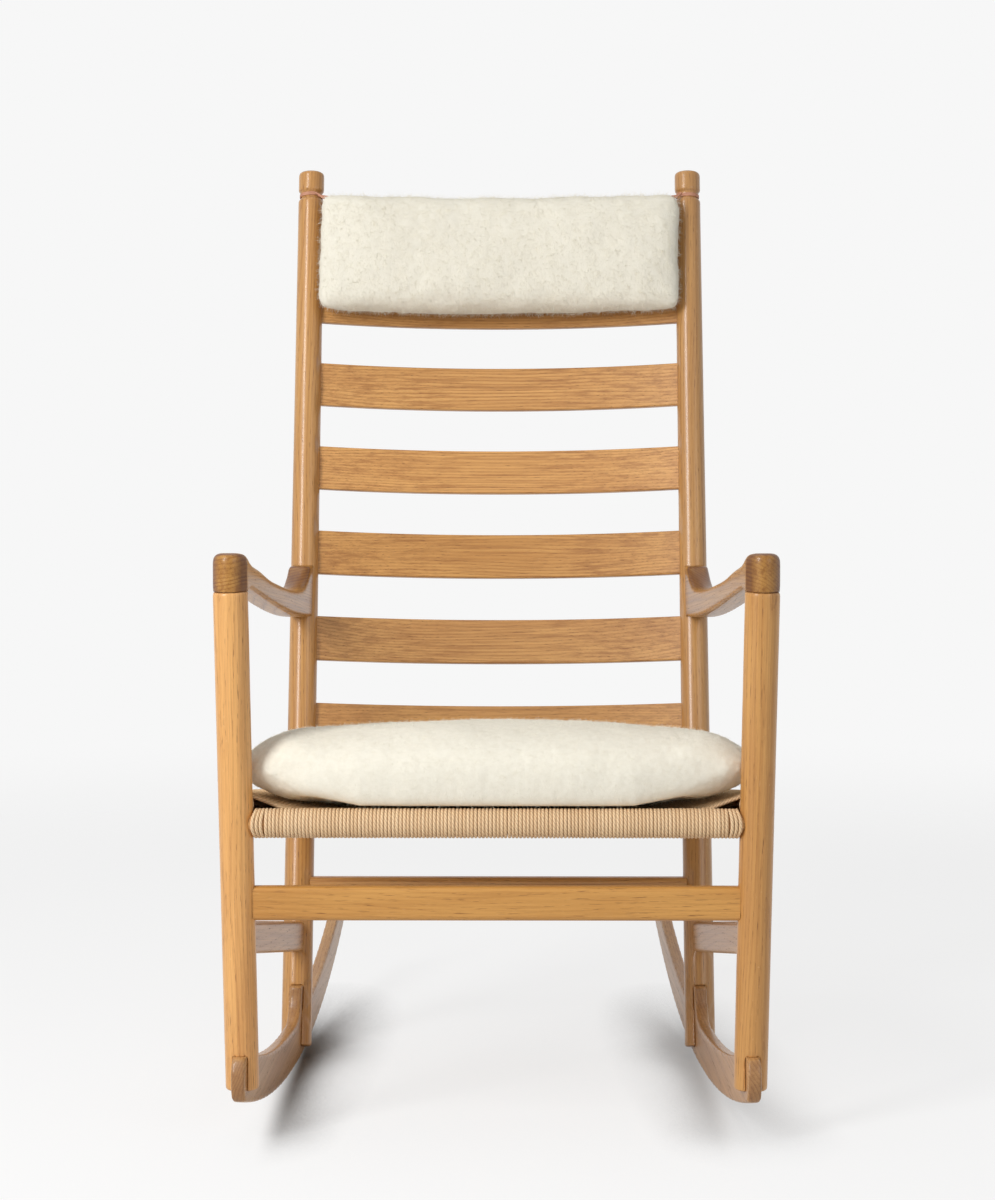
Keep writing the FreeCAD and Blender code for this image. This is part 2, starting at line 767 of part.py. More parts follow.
def neck_pillow():
    """Crowned pillow across the top of the back, bowed to follow the slats."""
    half_depth = (pillow_depth - pillow_seam) / 2
    half_height = pillow_height / 2
    wires = []
    for share, full in stations():
        bow = BACK * (pillow_bow * (1 - share ** 2))
        middle = V(pillow_half_width * share, 0, 0) + pillow_point(half_height) + bow
        narrow = corner_narrowing(share, pillow_half_width, pillow_corner_round)
        wires.append(stuffed_wire(middle, RISE * (half_height - narrow), BACK * -1,
                                  pillow_seam * full, half_depth * full, half_depth * full))
    return largest(Part.makeLoft(wires, True, False, False, 3))


def neck_middle(side):
    """Middle of the turned neck under a finial."""
    top = post_point(side, post_top_z)
    return top - RISE * (finial_height + neck_height / 2)


def pillow_strap(side):
    """Leather loop in the neck of the post with a tab that runs to the pillow's corner."""
    centre = neck_middle(side)
    inner = neck_diameter / 2 + strap_fit
    outer = inner + strap_thickness
    base = centre - RISE * (strap_width / 2)
    ring = Part.makeCylinder(outer, strap_width, base, RISE)
    ring = ring.cut(Part.makeCylinder(inner, strap_width, base, RISE))
    tab_start = centre - BACK * (inner + strap_thickness / 2)
    tab_end = V(side * (post_x - strap_tab_length), 0, 0) + pillow_point(0)
    tab_end = tab_end + RISE * (strap_width / 2 + strap_pillow_gap) + BACK * (pillow_seam / 2)
    tab = bar(tab_start, tab_end, strap_width, strap_thickness)
    return largest(ring.fuse(tab).cut(Part.makeCylinder(inner, 3 * strap_width,
                                                         base - RISE * strap_width, RISE)))


def build():
    sides = (("left", -1), ("right", 1))
    nodes = {}
    posts = {}
    legs = {}
    for name, side in sides:
        posts[name] = post_blank(side)
        legs[name] = leg_blank(side)
    post_blanks = dict(posts)
    leg_blanks = dict(legs)
    uprights = {
        "front": (leg_blanks["left"], leg_blanks["right"]),
        "back": (post_blanks["left"], post_blanks["right"]),
        "left": (leg_blanks["left"], post_blanks["left"]),
        "right": (leg_blanks["right"], post_blanks["right"])}

    def cut_uprights(place, tools):
        """Cuts both tools out of the two uprights that a member joins."""
        if place == "front":
            legs["left"] = legs["left"].cut(tools[0])
            legs["right"] = legs["right"].cut(tools[1])
        elif place == "back":
            posts["left"] = posts["left"].cut(tools[0])
            posts["right"] = posts["right"].cut(tools[1])
        else:
            legs[place] = legs[place].cut(tools[0])
            posts[place] = posts[place].cut(tools[1])

    def radii_of(place, line):
        start, end = line
        if place == "front":
            return leg_radius(start.z), leg_radius(end.z)
        if place == "back":
            return post_radius(start.z), post_radius(end.z)
        return leg_radius(start.z), post_radius(end.z)

    for place, line in rail_lines().items():
        radii = radii_of(place, line)
        body = seat_rail(line, uprights[place])
        nodes[place + "_seat_rail"] = largest(body.multiFuse(list(round_tenons(line, radii))))
        cut_uprights(place, round_tenons(line, radii, joint_fit))

    heights = {"front": front_stretcher_height, "back": back_stretcher_height,
               "left": side_stretcher_height, "right": side_stretcher_height}
    for place, line in stretcher_lines().items():
        radii = radii_of(place, line)
        body = bar(line[0], line[1], heights[place], stretcher_thickness, stretcher_edge_round)
        for blank in uprights[place]:
            body = body.cut(blank)
        tenons = list(flat_tenons(line, heights[place], radii))
        nodes[place + "_stretcher"] = largest(largest(body).multiFuse(tenons))
        cut_uprights(place, flat_tenons(line, heights[place], radii, joint_fit))

    for index in range(slat_count):
        nodes["back_slat_%d" % (index + 1)] = slat(index)
        tool = slat(index, joint_fit)
        posts["left"] = posts["left"].cut(tool)
        posts["right"] = posts["right"].cut(tool)

    for name, side in sides:
        board = rocker(side)
        legs[name] = legs[name].cut(board)
        posts[name] = posts[name].cut(board)
        nodes[name + "_rocker"] = board
        top = leg_point(side, arm_height)
        along = top - leg_point(side, front_leg_foot_z)
        along.normalize()
        socket = rod(top - along * cut_overrun,
                     top + along * (leg_tenon_length + tenon_end_room),
                     leg_tenon_diameter / 2 + joint_fit)
        dowel_hole = arm_dowel(side, joint_fit)
        nodes[name + "_arm"] = largest(arm(side, post_blanks[name], socket).cut(leg_blanks[name])
                                       .cut(dowel_hole))
        nodes[name + "_arm_dowel"] = arm_dowel(side)
        posts[name] = posts[name].cut(dowel_hole)

    for name, side in sides:
        nodes[name + "_back_post"] = posts[name]
        nodes[name + "_front_leg"] = legs[name]
        nodes[name + "_pillow_strap"] = pillow_strap(side)

    blanks = list(leg_blanks.values()) + list(post_blanks.values())
    nodes["seat_weave"] = seat_weave(blanks)
    cover, core = seat_cushion_pieces()
    nodes["seat_cushion_cover"] = cover
    nodes["seat_cushion_filling"] = core
    nodes["neck_pillow"] = neck_pillow()
    return nodes


def main():
    os.makedirs("parts", exist_ok=True)
    nodes = build()
    box = Part.makeCompound(list(nodes.values())).optimalBoundingBox(False, False)
    shift = V(-(box.XMin + box.XMax) / 2, -(box.YMin + box.YMax) / 2, -box.ZMin)
    for name, shape in nodes.items():
        moved = shape.copy()
        moved.translate(shift)
        moved.exportStep("parts/" + name + ".step")
        print(name, len(moved.Solids), "solid", round(moved.Volume), moved.isValid())
    print("origin shift", shift)


main()
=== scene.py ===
"""Looks of a ladder-back rocking chair: oiled oak, a woven paper-cord seat, wool cushions and
leather straps.

Lengths are in metres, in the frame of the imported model: the chair faces -Y and stands on Z = 0.
"""
import json
import math
import random

import bmesh
import bpy
import numpy as np
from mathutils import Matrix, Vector, noise
from mathutils.bvhtree import BVHTree


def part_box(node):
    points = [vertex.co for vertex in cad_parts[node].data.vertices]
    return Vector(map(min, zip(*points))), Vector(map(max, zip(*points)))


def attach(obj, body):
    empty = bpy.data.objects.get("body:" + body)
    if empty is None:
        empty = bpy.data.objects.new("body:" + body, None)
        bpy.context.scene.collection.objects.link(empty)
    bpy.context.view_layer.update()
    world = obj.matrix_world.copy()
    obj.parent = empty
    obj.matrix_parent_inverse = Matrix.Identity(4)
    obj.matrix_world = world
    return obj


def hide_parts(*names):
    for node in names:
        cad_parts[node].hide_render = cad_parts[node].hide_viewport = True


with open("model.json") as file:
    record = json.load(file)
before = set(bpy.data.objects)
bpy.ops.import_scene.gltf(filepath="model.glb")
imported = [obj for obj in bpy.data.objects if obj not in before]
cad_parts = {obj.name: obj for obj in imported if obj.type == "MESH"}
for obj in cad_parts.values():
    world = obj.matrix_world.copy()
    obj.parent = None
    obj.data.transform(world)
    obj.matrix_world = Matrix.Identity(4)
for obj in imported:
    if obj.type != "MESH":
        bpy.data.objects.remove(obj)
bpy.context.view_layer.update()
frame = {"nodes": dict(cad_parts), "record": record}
MM = 0.001
UP = Vector((0, 0, 1))
ACROSS = Vector((1, 0, 0))
LEAN = math.radians(16)
RISE = Vector((0, math.sin(LEAN), math.cos(LEAN)))      # up along the back posts
BACK = Vector((0, math.cos(LEAN), -math.sin(LEAN)))     # square to them, to the back

# Camera
PHOTO_HEIGHT = 1200
CAMERA_PLACE = (0.018, -3.4763, 0.8512)
CAMERA_YAW = math.radians(0.310)
CAMERA_TILT = math.radians(2.378)
CAMERA_FOCAL = 2856.6           # in pixels of the photograph
CAMERA_SHIFT = -120             # likewise
SENSOR = 36.0

# Woven seat
CORD = 4.0 * MM
CORD_PITCH = 4.05 * MM
CORD_LAY = 14.0 * MM            # length of one full twist of the cord
RAIL_RADIUS = 12.25 * MM
CORD_FIT = 0.3 * MM
CORNER_GAP = 10.5 * MM          # bare rail between a front leg and the weave's corner
BACK_CORNER_GAP = 24.5 * MM     # from the end of the back stretcher to the weave's back corner
LEG_REACH = 18.0 * MM           # from the end of the front rail to the outer side of its leg
LEG_TUCK = 1.0 * MM             # how far the last wrap goes behind the leg's side
POST_TUCK = 2.0 * MM
SIDE_START = 15.0 * MM          # first wrap of a side rail, behind the front rail
SIDE_BACK = 23.3 * MM           # last woven cord of a side rail, in front of the back rail
SIDE_END = 10.0 * MM            # and its last wrap
CORD_SHIFT = 0.12 * MM          # how unevenly the cords lie side by side
CORD_WIDTHS = (0.96, 1.03)
SEAM_STEP = 2.0 * MM
CORD_SIDES = 8
WRAP_BULGE = 3.6 * MM           # towards the leg, where the wraps hug its round side
BULGED_WRAPS = 5
WEAVE_DROP = 17.5 * MM
WEAVE_UNDER_DROP = 43.5 * MM
WEAVE_HALF = 58.0 * MM
WEAVE_MIDDLE_SHARE = 0.518
SEAM_DIP = 3.0 * MM

# Cushions
CLOTH_CELL = 6 * MM             # of the mesh that is puffed
CLOTH_PRESSURE = 4.0
CLOTH_FRAMES = 20
HELD = 1.0                      # how firmly the side that rests on something stays
LOOSE = 0.12
SEAT_SWELL = 5 * MM
SEAT_LUMPS = ((90 * MM, 2.2 * MM), (28 * MM, 1.0 * MM), (6 * MM, 0.7 * MM))     # size, depth
SEAT_NAP = (12000, (2.5 * MM, 5.5 * MM))        # number of fibres, their lengths
PILLOW_SWELL = 4 * MM
PILLOW_LUMPS = ((70 * MM, 2.6 * MM), (24 * MM, 1.4 * MM), (9 * MM, 0.5 * MM), (4 * MM, 0.4 * MM))
PILLOW_NAP = (15000, (4.5 * MM, 10 * MM))
PILLOW_CORNER = 22 * MM
TIP_LIFTS = (6 * MM, 12 * MM)   # left and right
TIP_REACH = 110 * MM
SETTLE_REACH = 45 * MM          # how far behind its front the cushion sinks to the rail
SETTLE_HEIGHT = 36 * MM         # and how far up
SETTLE_FADE = 19.8 * MM
SETTLE_GAP = 0.8 * MM
SETTLE_ENDS = (150 * MM, 240 * MM)      # from the middle, where the sinking starts to fade, and ends
SETTLE_ROUND = 15 * MM          # radius of the lower front edge
BELLY = 13 * MM                 # how far the front swells out over the rail
BELLY_RISE = 34 * MM
BELLY_HALF = 50 * MM
CROWN_LIFT = 3.5 * MM
NAP_WIDTH = 0.17 * MM
NAP_DROOP = 0.5                 # share by which the fibres lean down
NAP_LEAN_LEAST = math.radians(25)
NAP_LEAN_MOST = math.radians(75)

# Straps
NECK_RADIUS = 13.5 * MM
NECK_LENGTH = 8 * MM
STRAP_WIDTH = 3.4 * MM
STRAP_THICKNESS = 1.6 * MM
STRAP_FIT = 0.4 * MM
STRAP_EASE = 0.6 * MM           # room for the turns along the neck
STRAP_SPACE = 2.8 * MM          # radial room of the plain strap round the neck
STRAP_HALF = 2.4 * MM
STRAP_TURNS = 2
STRAP_STEPS = 28                # per turn
STRAP_CORNER = Vector((-1 * MM, -3 * MM, -5 * MM))     # end of the upper tail, outward, back, up
STRAP_SPREAD = Vector((7 * MM, -1 * MM, -4 * MM))      # from there to the end of the lower tail
UPPER_TAIL_BOW = 1.0 * MM
LOWER_TAIL_BOW = 0.5 * MM

# Lamps: place, size in metres, watts, and the height of the point they face
KEY_LAMP = ((-1.9, -2.2, 2.0), (0.80, 2.0), 72, 0.5)
FILL_LAMP = ((2.5, -2.8, 1.7), (2.0, 2.0), 19, 0.5)
TOP_LAMP = ((-0.5, 0.3, 3.3), (2.4, 2.4), 13, 0.4)
SOFT_LIGHT = 0.30

# Paint colours, linear
OAK_LIGHT = (0.81, 0.425, 0.132, 1)
OAK_MID = (0.64, 0.300, 0.083, 1)
OAK_DARK = (0.40, 0.160, 0.040, 1)
OAK_PORE = (0.20, 0.075, 0.024, 1)
OAK_FLECK = (0.84, 0.52, 0.24, 1)
# Dark colour of end grain, which on the arms also serves as painted shade
OAK_END_GRAIN_AND_SHADE = (0.22, 0.075, 0.028, 1)
PAPER_LIGHT = (0.94, 0.70, 0.44, 1)
PAPER_DARK = (0.78, 0.53, 0.30, 1)
# Painted shade in the grooves between the plies of the cord
PAINTED_GROOVE_SHADE = (0.38, 0.22, 0.10, 1)
WOOL_LIGHT = (0.93, 0.89, 0.77, 1)
WOOL_DARK = (0.78, 0.73, 0.60, 1)
LEATHER = (0.56, 0.27, 0.17, 1)
LEATHER_DARK = (0.38, 0.16, 0.09, 1)
FLOOR_WHITE = (0.80, 0.80, 0.80, 1)
BACKDROP = (0.93, 0.93, 0.93, 1)

# Oak: ring width, how far the rings wander, and how far the pith lies from a board, in millimetres
RING_WIDTH = 4.0 * MM
SLOW_WARP = 36 * MM
QUICK_WARP = 3.0 * MM
PITH_DISTANCES = (65, 150)
GRAIN_DEPTH = 0.12 * MM

# Lighter and darker boards: value, saturation and strength of figure
OAK_SHADES = {
    "left_front_leg": (1.04, 0.98, 0.40), "right_front_leg": (0.86, 1.0, 0.45),
    "left_back_post": (0.77, 1.0, 0.50), "right_back_post": (0.72, 0.98, 0.50),
    # The arms' low values are partly painted shade, which darkens their inner faces, turned away from the
    # lamps.
    "left_arm": (0.62, 1.06, 1.0), "right_arm": (0.58, 1.06, 1.0),
    "left_rocker": (0.70, 0.95, 0.5), "right_rocker": (0.74, 0.95, 0.5),
    "front_stretcher": (0.82, 1.04, 0.25), "back_slat_3": (0.90, 0.98, 1.0),
    "back_slat_4": (0.94, 0.98, 1.0), "back_slat_5": (0.83, 1.0, 1.0), "back_slat_6": (0.83, 0.97, 1.0)}
PLAIN_SHADE = (0.80, 0.98, 0.7)
PLAIN_COAT = 0.22
COATS = {"post": 0.42, "arm": 0.25}     # share of polish over the oil
COAT_ROUGHNESS = 0.18
OIL_SHINE = 0.36

# How far a face is turned to the fibres, from 0 to 1, and how much end grain shows on it. On the arms the
# end-grain colour is also painted shade: the rounded sides of each head are darkened, and the head's front,
# which is end grain too, is kept light.
END_STOPS = ((0.45, 0.0), (0.80, 0.55))
ARM_END_GRAIN_AND_SHADE_STOPS = ((0.14, 0.0), (0.30, 1.0), (0.55, 1.0), (0.82, 0.0))

# Worn edges: rounds of smoothing for each board
WORN = {"left_rocker": 12, "right_rocker": 12, "left_arm": 16, "right_arm": 16,
        "left_front_leg": 4, "right_front_leg": 4, "left_back_post": 4, "right_back_post": 4}
WORN_CELL = 1.6 * MM
HEAD_HALF = 17.5 * MM           # half the width of an arm's head
HEAD_ROUND = 8 * MM             # depth of the round that its front gets
JOINT_REACH = 1.3 * MM          # edges this near to another board stay sharp

# Floor
SEEN_SHARE = 0.72               # share of the floor's look that comes from its own pale glow
SEEN_GLOW = 1.12
FLOOR_SIZE = 16
FLOOR_MIDDLE = (0, 2, 0)
FLOOR_FADE = (1.3, 3.0)         # distance from the object at which the floor starts to fade, and ends
# Painted shadow on the floor beside the rockers, darkened by the nearness of each rocker
SHADE_REACH = 0.11              # how far the soft shade beside the rockers spreads
SHADE_START = 0.264             # from the middle outward, where that shade begins
SHADE_FULL = 0.236              # and where it is full
SHADE_LEAN = 0.8                # how far the light that it answers to leans to the side
SHADE_RISE = 0.6
SHADE_OPEN = 0.62               # openness at which a shade is darkest
SHADE_MIDDLE = (-0.10, 0.05)    # where a shade fades towards the other rocker
SHADES = ((-1, 1.0, 0.25, 0.0), (1, 0.50, 0.0, 0.25))   # side, weight, share beyond and outside


def add(tree, kind, inputs=None, **settings):
    """New node with its settings and inputs. An input is a value or another node's output."""
    node = tree.nodes.new(kind)
    for name, value in settings.items():
        setattr(node, name, value)
    for name, value in (inputs or {}).items():
        if isinstance(value, bpy.types.NodeSocket):
            tree.links.new(value, node.inputs[name])
        else:
            node.inputs[name].default_value = value
    return node


def calc(tree, operation, first, second=0.0):
    return add(tree, "ShaderNodeMath", {0: first, 1: second}, operation=operation).outputs[0]


def stretch(tree, vector, scale):
    return add(tree, "ShaderNodeVectorMath", {0: vector, 1: scale}, operation="MULTIPLY").outputs[0]


def grain_noise(tree, vector, scale, detail=2.0, roughness=0.5):
    """Noise whose cells are 1 / scale long in each direction, from 0 to 1."""
    return add(tree, "ShaderNodeTexNoise", {
        "Vector": stretch(tree, vector, scale), "Scale": 1.0, "Detail": detail,
        "Roughness": roughness}).outputs["Fac"]


def ramp(tree, value, stops):
    """Colour ramp through (place, colour) stops, with smooth steps between."""
    node = add(tree, "ShaderNodeValToRGB", {"Fac": value})
    elements = node.color_ramp.elements
    while len(elements) < len(stops):
        elements.new(0.5)
    for element, (place, colour) in zip(elements, stops):
        element.position = place
        element.color = colour
    return node.outputs["Color"]


def between(tree, value, low, high, start=0.0, end=1.0):
    return add(tree, "ShaderNodeMapRange", {
        "Value": value, "From Min": low, "From Max": high, "To Min": start, "To Max": end},
        interpolation_type="SMOOTHSTEP").outputs["Result"]


def mix(tree, share, first, second, blend="MIX"):
    node = add(tree, "ShaderNodeMix", data_type="RGBA", blend_type=blend)
    for socket, value in ((0, share), (6, first), (7, second)):
        if isinstance(value, bpy.types.NodeSocket):
            tree.links.new(value, node.inputs[socket])
        else:
            node.inputs[socket].default_value = value
    return node.outputs[2]


def new_material(name):
    material = bpy.data.materials.new(name)
    material.use_nodes = True
    tree = material.node_tree
    tree.nodes.clear()
    return material, tree


def finish_material(tree, inputs, height=None, strength=0.3, distance=0.3 * MM):
    """Surface of a material, with a bump where height is given."""
    if height is not None:
        inputs["Normal"] = add(tree, "ShaderNodeBump", {
            "Height": height, "Strength": strength, "Distance": distance}).outputs["Normal"]
    shader = add(tree, "ShaderNodeBsdfPrincipled", inputs)
    add(tree, "ShaderNodeOutputMaterial", {"Surface": shader.outputs[0]})
    return shader


def oak_group():
    """Grain of oak in a block whose fibres run along X and whose pith is the X axis."""
    tree = bpy.data.node_groups.new("oak_grain", "ShaderNodeTree")
    tree.interface.new_socket("Vector", in_out="INPUT", socket_type="NodeSocketVector")
    tree.interface.new_socket("End", in_out="INPUT", socket_type="NodeSocketFloat")
    tree.interface.new_socket("Figure", in_out="INPUT", socket_type="NodeSocketFloat")
    tree.interface.new_socket("Color", in_out="OUTPUT", socket_type="NodeSocketColor")
    tree.interface.new_socket("Height", in_out="OUTPUT", socket_type="NodeSocketFloat")
    tree.interface.new_socket("Roughness", in_out="OUTPUT", socket_type="NodeSocketFloat")
    source = add(tree, "NodeGroupInput")
    place = source.outputs["Vector"]
    end = source.outputs["End"]
    figure = source.outputs["Figure"]
    parts = add(tree, "ShaderNodeSeparateXYZ", {"Vector": place}).outputs
    along, y, z = parts[0], parts[1], parts[2]

    distance = calc(tree, "SQRT", calc(tree, "ADD", calc(tree, "MULTIPLY", y, y),
                                       calc(tree, "MULTIPLY", z, z)))
    slow = grain_noise(tree, place, (2.2, 11.0, 11.0), 1.0)
    quick = grain_noise(tree, place, (9.0, 75.0, 75.0), 2.0)
    warp = calc(tree, "ADD", calc(tree, "MULTIPLY", slow, SLOW_WARP),
                calc(tree, "MULTIPLY", quick, QUICK_WARP))
    rings = calc(tree, "DIVIDE", calc(tree, "ADD", distance, warp), RING_WIDTH)
    phase = calc(tree, "FRACT", rings)
    year = add(tree, "ShaderNodeTexWhiteNoise", {"W": calc(tree, "FLOOR", rings)},
               noise_dimensions="1D").outputs["Value"]
    ring_colour = ramp(tree, phase, (
        (0.0, OAK_DARK), (0.16, OAK_MID), (0.40, OAK_LIGHT), (0.85, OAK_LIGHT), (1.0, OAK_MID)))

    fibres = grain_noise(tree, place, (8.0, 560.0, 560.0), 3.0, 0.65)
    streaks = grain_noise(tree, place, (3.0, 210.0, 210.0), 3.0, 0.6)
    mottle = grain_noise(tree, place, (3.5, 26.0, 26.0), 2.0)
    broad = grain_noise(tree, place, (1.1, 12.0, 12.0), 1.0)
    ring_share = between(tree, broad, 0.3, 0.7, 0.45, 1.0)
    ring_share = calc(tree, "MULTIPLY", ring_share,
                      calc(tree, "ADD", calc(tree, "MULTIPLY", year, 0.8), 0.35))
    ring_share = calc(tree, "MULTIPLY", ring_share, figure)
    colour = mix(tree, between(tree, mottle, 0.3, 0.7, 0.0, 0.95), OAK_LIGHT, OAK_MID)
    colour = mix(tree, ring_share, colour, ring_colour)
    streaks = calc(tree, "MULTIPLY", between(tree, streaks, 0.42, 0.72, 0.0, 0.70), figure)
    colour = mix(tree, streaks, colour, OAK_DARK)
    colour = mix(tree, between(tree, fibres, 0.44, 0.78, 0.0, 0.45), colour, OAK_DARK)

    early = between(tree, phase, 0.45, 0.05)
    pores = grain_noise(tree, place, (70.0, 1300.0, 1300.0), 1.0)
    pores = calc(tree, "MULTIPLY", between(tree, pores, 0.58, 0.70),
                 calc(tree, "ADD", calc(tree, "MULTIPLY", early, 0.8), 0.2))
    colour = mix(tree, calc(tree, "MULTIPLY", pores, 0.75), colour, OAK_PORE)

    turn = calc(tree, "MULTIPLY", calc(tree, "ARCTAN2", z, y), distance)
    rays = add(tree, "ShaderNodeCombineXYZ", {"X": along, "Y": distance, "Z": turn}).outputs[0]
    flecks = grain_noise(tree, rays, (150.0, 240.0, 1100.0), 1.0)
    flecks = between(tree, flecks, 0.68, 0.78)
    colour = mix(tree, calc(tree, "MULTIPLY", flecks, 0.35), colour, OAK_FLECK)

    waves = between(tree, phase, 0.75, 0.15)
    waves = calc(tree, "MULTIPLY", waves, calc(tree, "ADD", calc(tree, "MULTIPLY", year, 0.7), 0.3))
    # Share of dark end-grain colour; on the arms it is partly painted shade on the heads' rounded sides
    ends = calc(tree, "MULTIPLY", end, calc(tree, "ADD", calc(tree, "MULTIPLY", waves, 0.25), 0.70))
    colour = mix(tree, ends, colour, OAK_END_GRAIN_AND_SHADE)
    height = calc(tree, "SUBTRACT", calc(tree, "MULTIPLY", fibres, 0.25), pores)
    rough = calc(tree, "ADD", 0.30, calc(tree, "ADD", calc(tree, "MULTIPLY", pores, 0.25),
                                         calc(tree, "MULTIPLY", fibres, 0.14)))
    add(tree, "NodeGroupOutput", {"Color": colour, "Height": height, "Roughness": rough})
    return tree


def main_axis(node):
    """Direction in which a long piece runs."""
    points = np.array([tuple(v.co) for v in node.data.vertices])
    values, vectors = np.linalg.eigh(np.cov((points - points.mean(0)).T))
    return Vector(vectors[:, int(np.argmax(values))]).normalized()


def oak_material(name, axis, seed, shade, end_grain_and_shade_stops, coat):
    """Oak whose fibres run along axis. seed picks the place in the log.

    shade is the board's value, saturation and strength of figure. The end stops give how much end grain
    shows on faces turned to the axis, and on the arms also paint shade on the heads' rounded sides; coat
    gives the share of polish over the oil.
    """
    rng = random.Random(seed)
    material, tree = new_material("oak_" + name)
    turn = axis.rotation_difference(ACROSS).to_euler()
    pith = rng.uniform(*PITH_DISTANCES) * MM
    angle = rng.uniform(0, 2 * math.pi)
    place = (rng.uniform(0, 9), pith * math.cos(angle), pith * math.sin(angle))
    coordinates = add(tree, "ShaderNodeTexCoord")
    vector = add(tree, "ShaderNodeMapping", {
        "Vector": coordinates.outputs["Object"], "Location": place, "Rotation": turn}).outputs[0]
    facing = add(tree, "ShaderNodeVectorMath", {0: coordinates.outputs["Normal"], 1: axis},
                 operation="DOT_PRODUCT").outputs["Value"]
    # Share of end-grain colour by facing; with the arms' stops it also paints shade
    greys = [(turned, (share, share, share, 1)) for turned, share in end_grain_and_shade_stops]
    end = ramp(tree, calc(tree, "ABSOLUTE", facing), greys)
    grain = add(tree, "ShaderNodeGroup", node_tree=bpy.data.node_groups["oak_grain"])
    tree.links.new(vector, grain.inputs["Vector"])
    tree.links.new(end, grain.inputs["End"])
    grain.inputs["Figure"].default_value = shade[2]
    colour = add(tree, "ShaderNodeHueSaturation", {
        "Color": grain.outputs["Color"], "Value": shade[0], "Saturation": shade[1]}).outputs[0]
    finish_material(tree, {"Base Color": colour, "Roughness": grain.outputs["Roughness"],
                           "Specular IOR Level": OIL_SHINE, "Coat Weight": coat,
                           "Coat Roughness": COAT_ROUGHNESS}, grain.outputs["Height"], 0.3, GRAIN_DEPTH)
    return material


def dress_wood():
    oak_group()
    for item in frame["record"]["subparts"]:
        name = item["node"]
        if item["material_slot"] != "oiled_oak":
            continue
        node = frame["nodes"][name]
        end_grain_and_shade_stops = ARM_END_GRAIN_AND_SHADE_STOPS if name.endswith("_arm") else END_STOPS
        material = oak_material(name, main_axis(node), "oak " + name,
                                OAK_SHADES.get(name, PLAIN_SHADE), end_grain_and_shade_stops,
                                COATS.get(name.split("_")[-1], PLAIN_COAT))
        node.data.materials.clear()
        node.data.materials.append(material)
        if name in WORN:
            worn_board(name, material, WORN[name])


def other_boards(name):
    """Search tree of the faces of all wooden parts but one."""
    points, faces = [], []
    for item in frame["record"]["subparts"]:
        if item["material_slot"] != "oiled_oak" or item["node"] == name:
            continue
        mesh = frame["nodes"][item["node"]].data
        start = len(points)
        points += [v.co.copy() for v in mesh.vertices]
        faces += [[start + index for index in polygon.vertices] for polygon in mesh.polygons]
    return BVHTree.FromPolygons(points, faces)


def round_head(thing):
    """Gives the front of an arm the round of the leg below it."""
    outermost = max((v.co.x for v in thing.data.vertices), key=abs)
    middle = outermost - math.copysign(HEAD_HALF, outermost)
    front = min(v.co.y for v in thing.data.vertices)
    for vertex in thing.data.vertices:
        across = min(1.0, abs(vertex.co.x - middle) / HEAD_HALF)
        inward = max(0.0, 1 - (vertex.co.y - front) / (2 * HEAD_ROUND))
        vertex.co.y += HEAD_ROUND * (1 - math.sqrt(1 - across ** 2)) * inward


def worn_board(name, material, turns):
    """Stands in for a board with softly worn edges, sharp only where it is let into another board."""
    thing = outer_shell(frame["nodes"][name], name + "_worn")
    remesh(thing, WORN_CELL)
    if name.endswith("_arm"):
        round_head(thing)
    others = other_boards(name)
    work = bmesh.new()
    work.from_mesh(thing.data)
    free = [v for v in work.verts if others.find_nearest(v.co, JOINT_REACH)[0] is None]
    for _ in range(turns):
        bmesh.ops.smooth_vert(work, verts=free, factor=0.5,
                              use_axis_x=True, use_axis_y=True, use_axis_z=True)
    work.to_mesh(thing.data)
    work.free()
    for polygon in thing.data.polygons:
        polygon.use_smooth = True
    thing.data.materials.clear()
    thing.data.materials.append(material)
    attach(thing, "chair_frame")
    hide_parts(name)


def make_object(name, vertices, faces, body, material, smooth=True):
    mesh = bpy.data.meshes.new(name)
    mesh.from_pydata([tuple(v) for v in vertices], [], faces)
    mesh.validate()
    for polygon in mesh.polygons:
        polygon.use_smooth = smooth
    mesh.materials.append(material)
    thing = bpy.data.objects.new(name, mesh)
    bpy.context.scene.collection.objects.link(thing)
    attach(thing, body)
    return thing


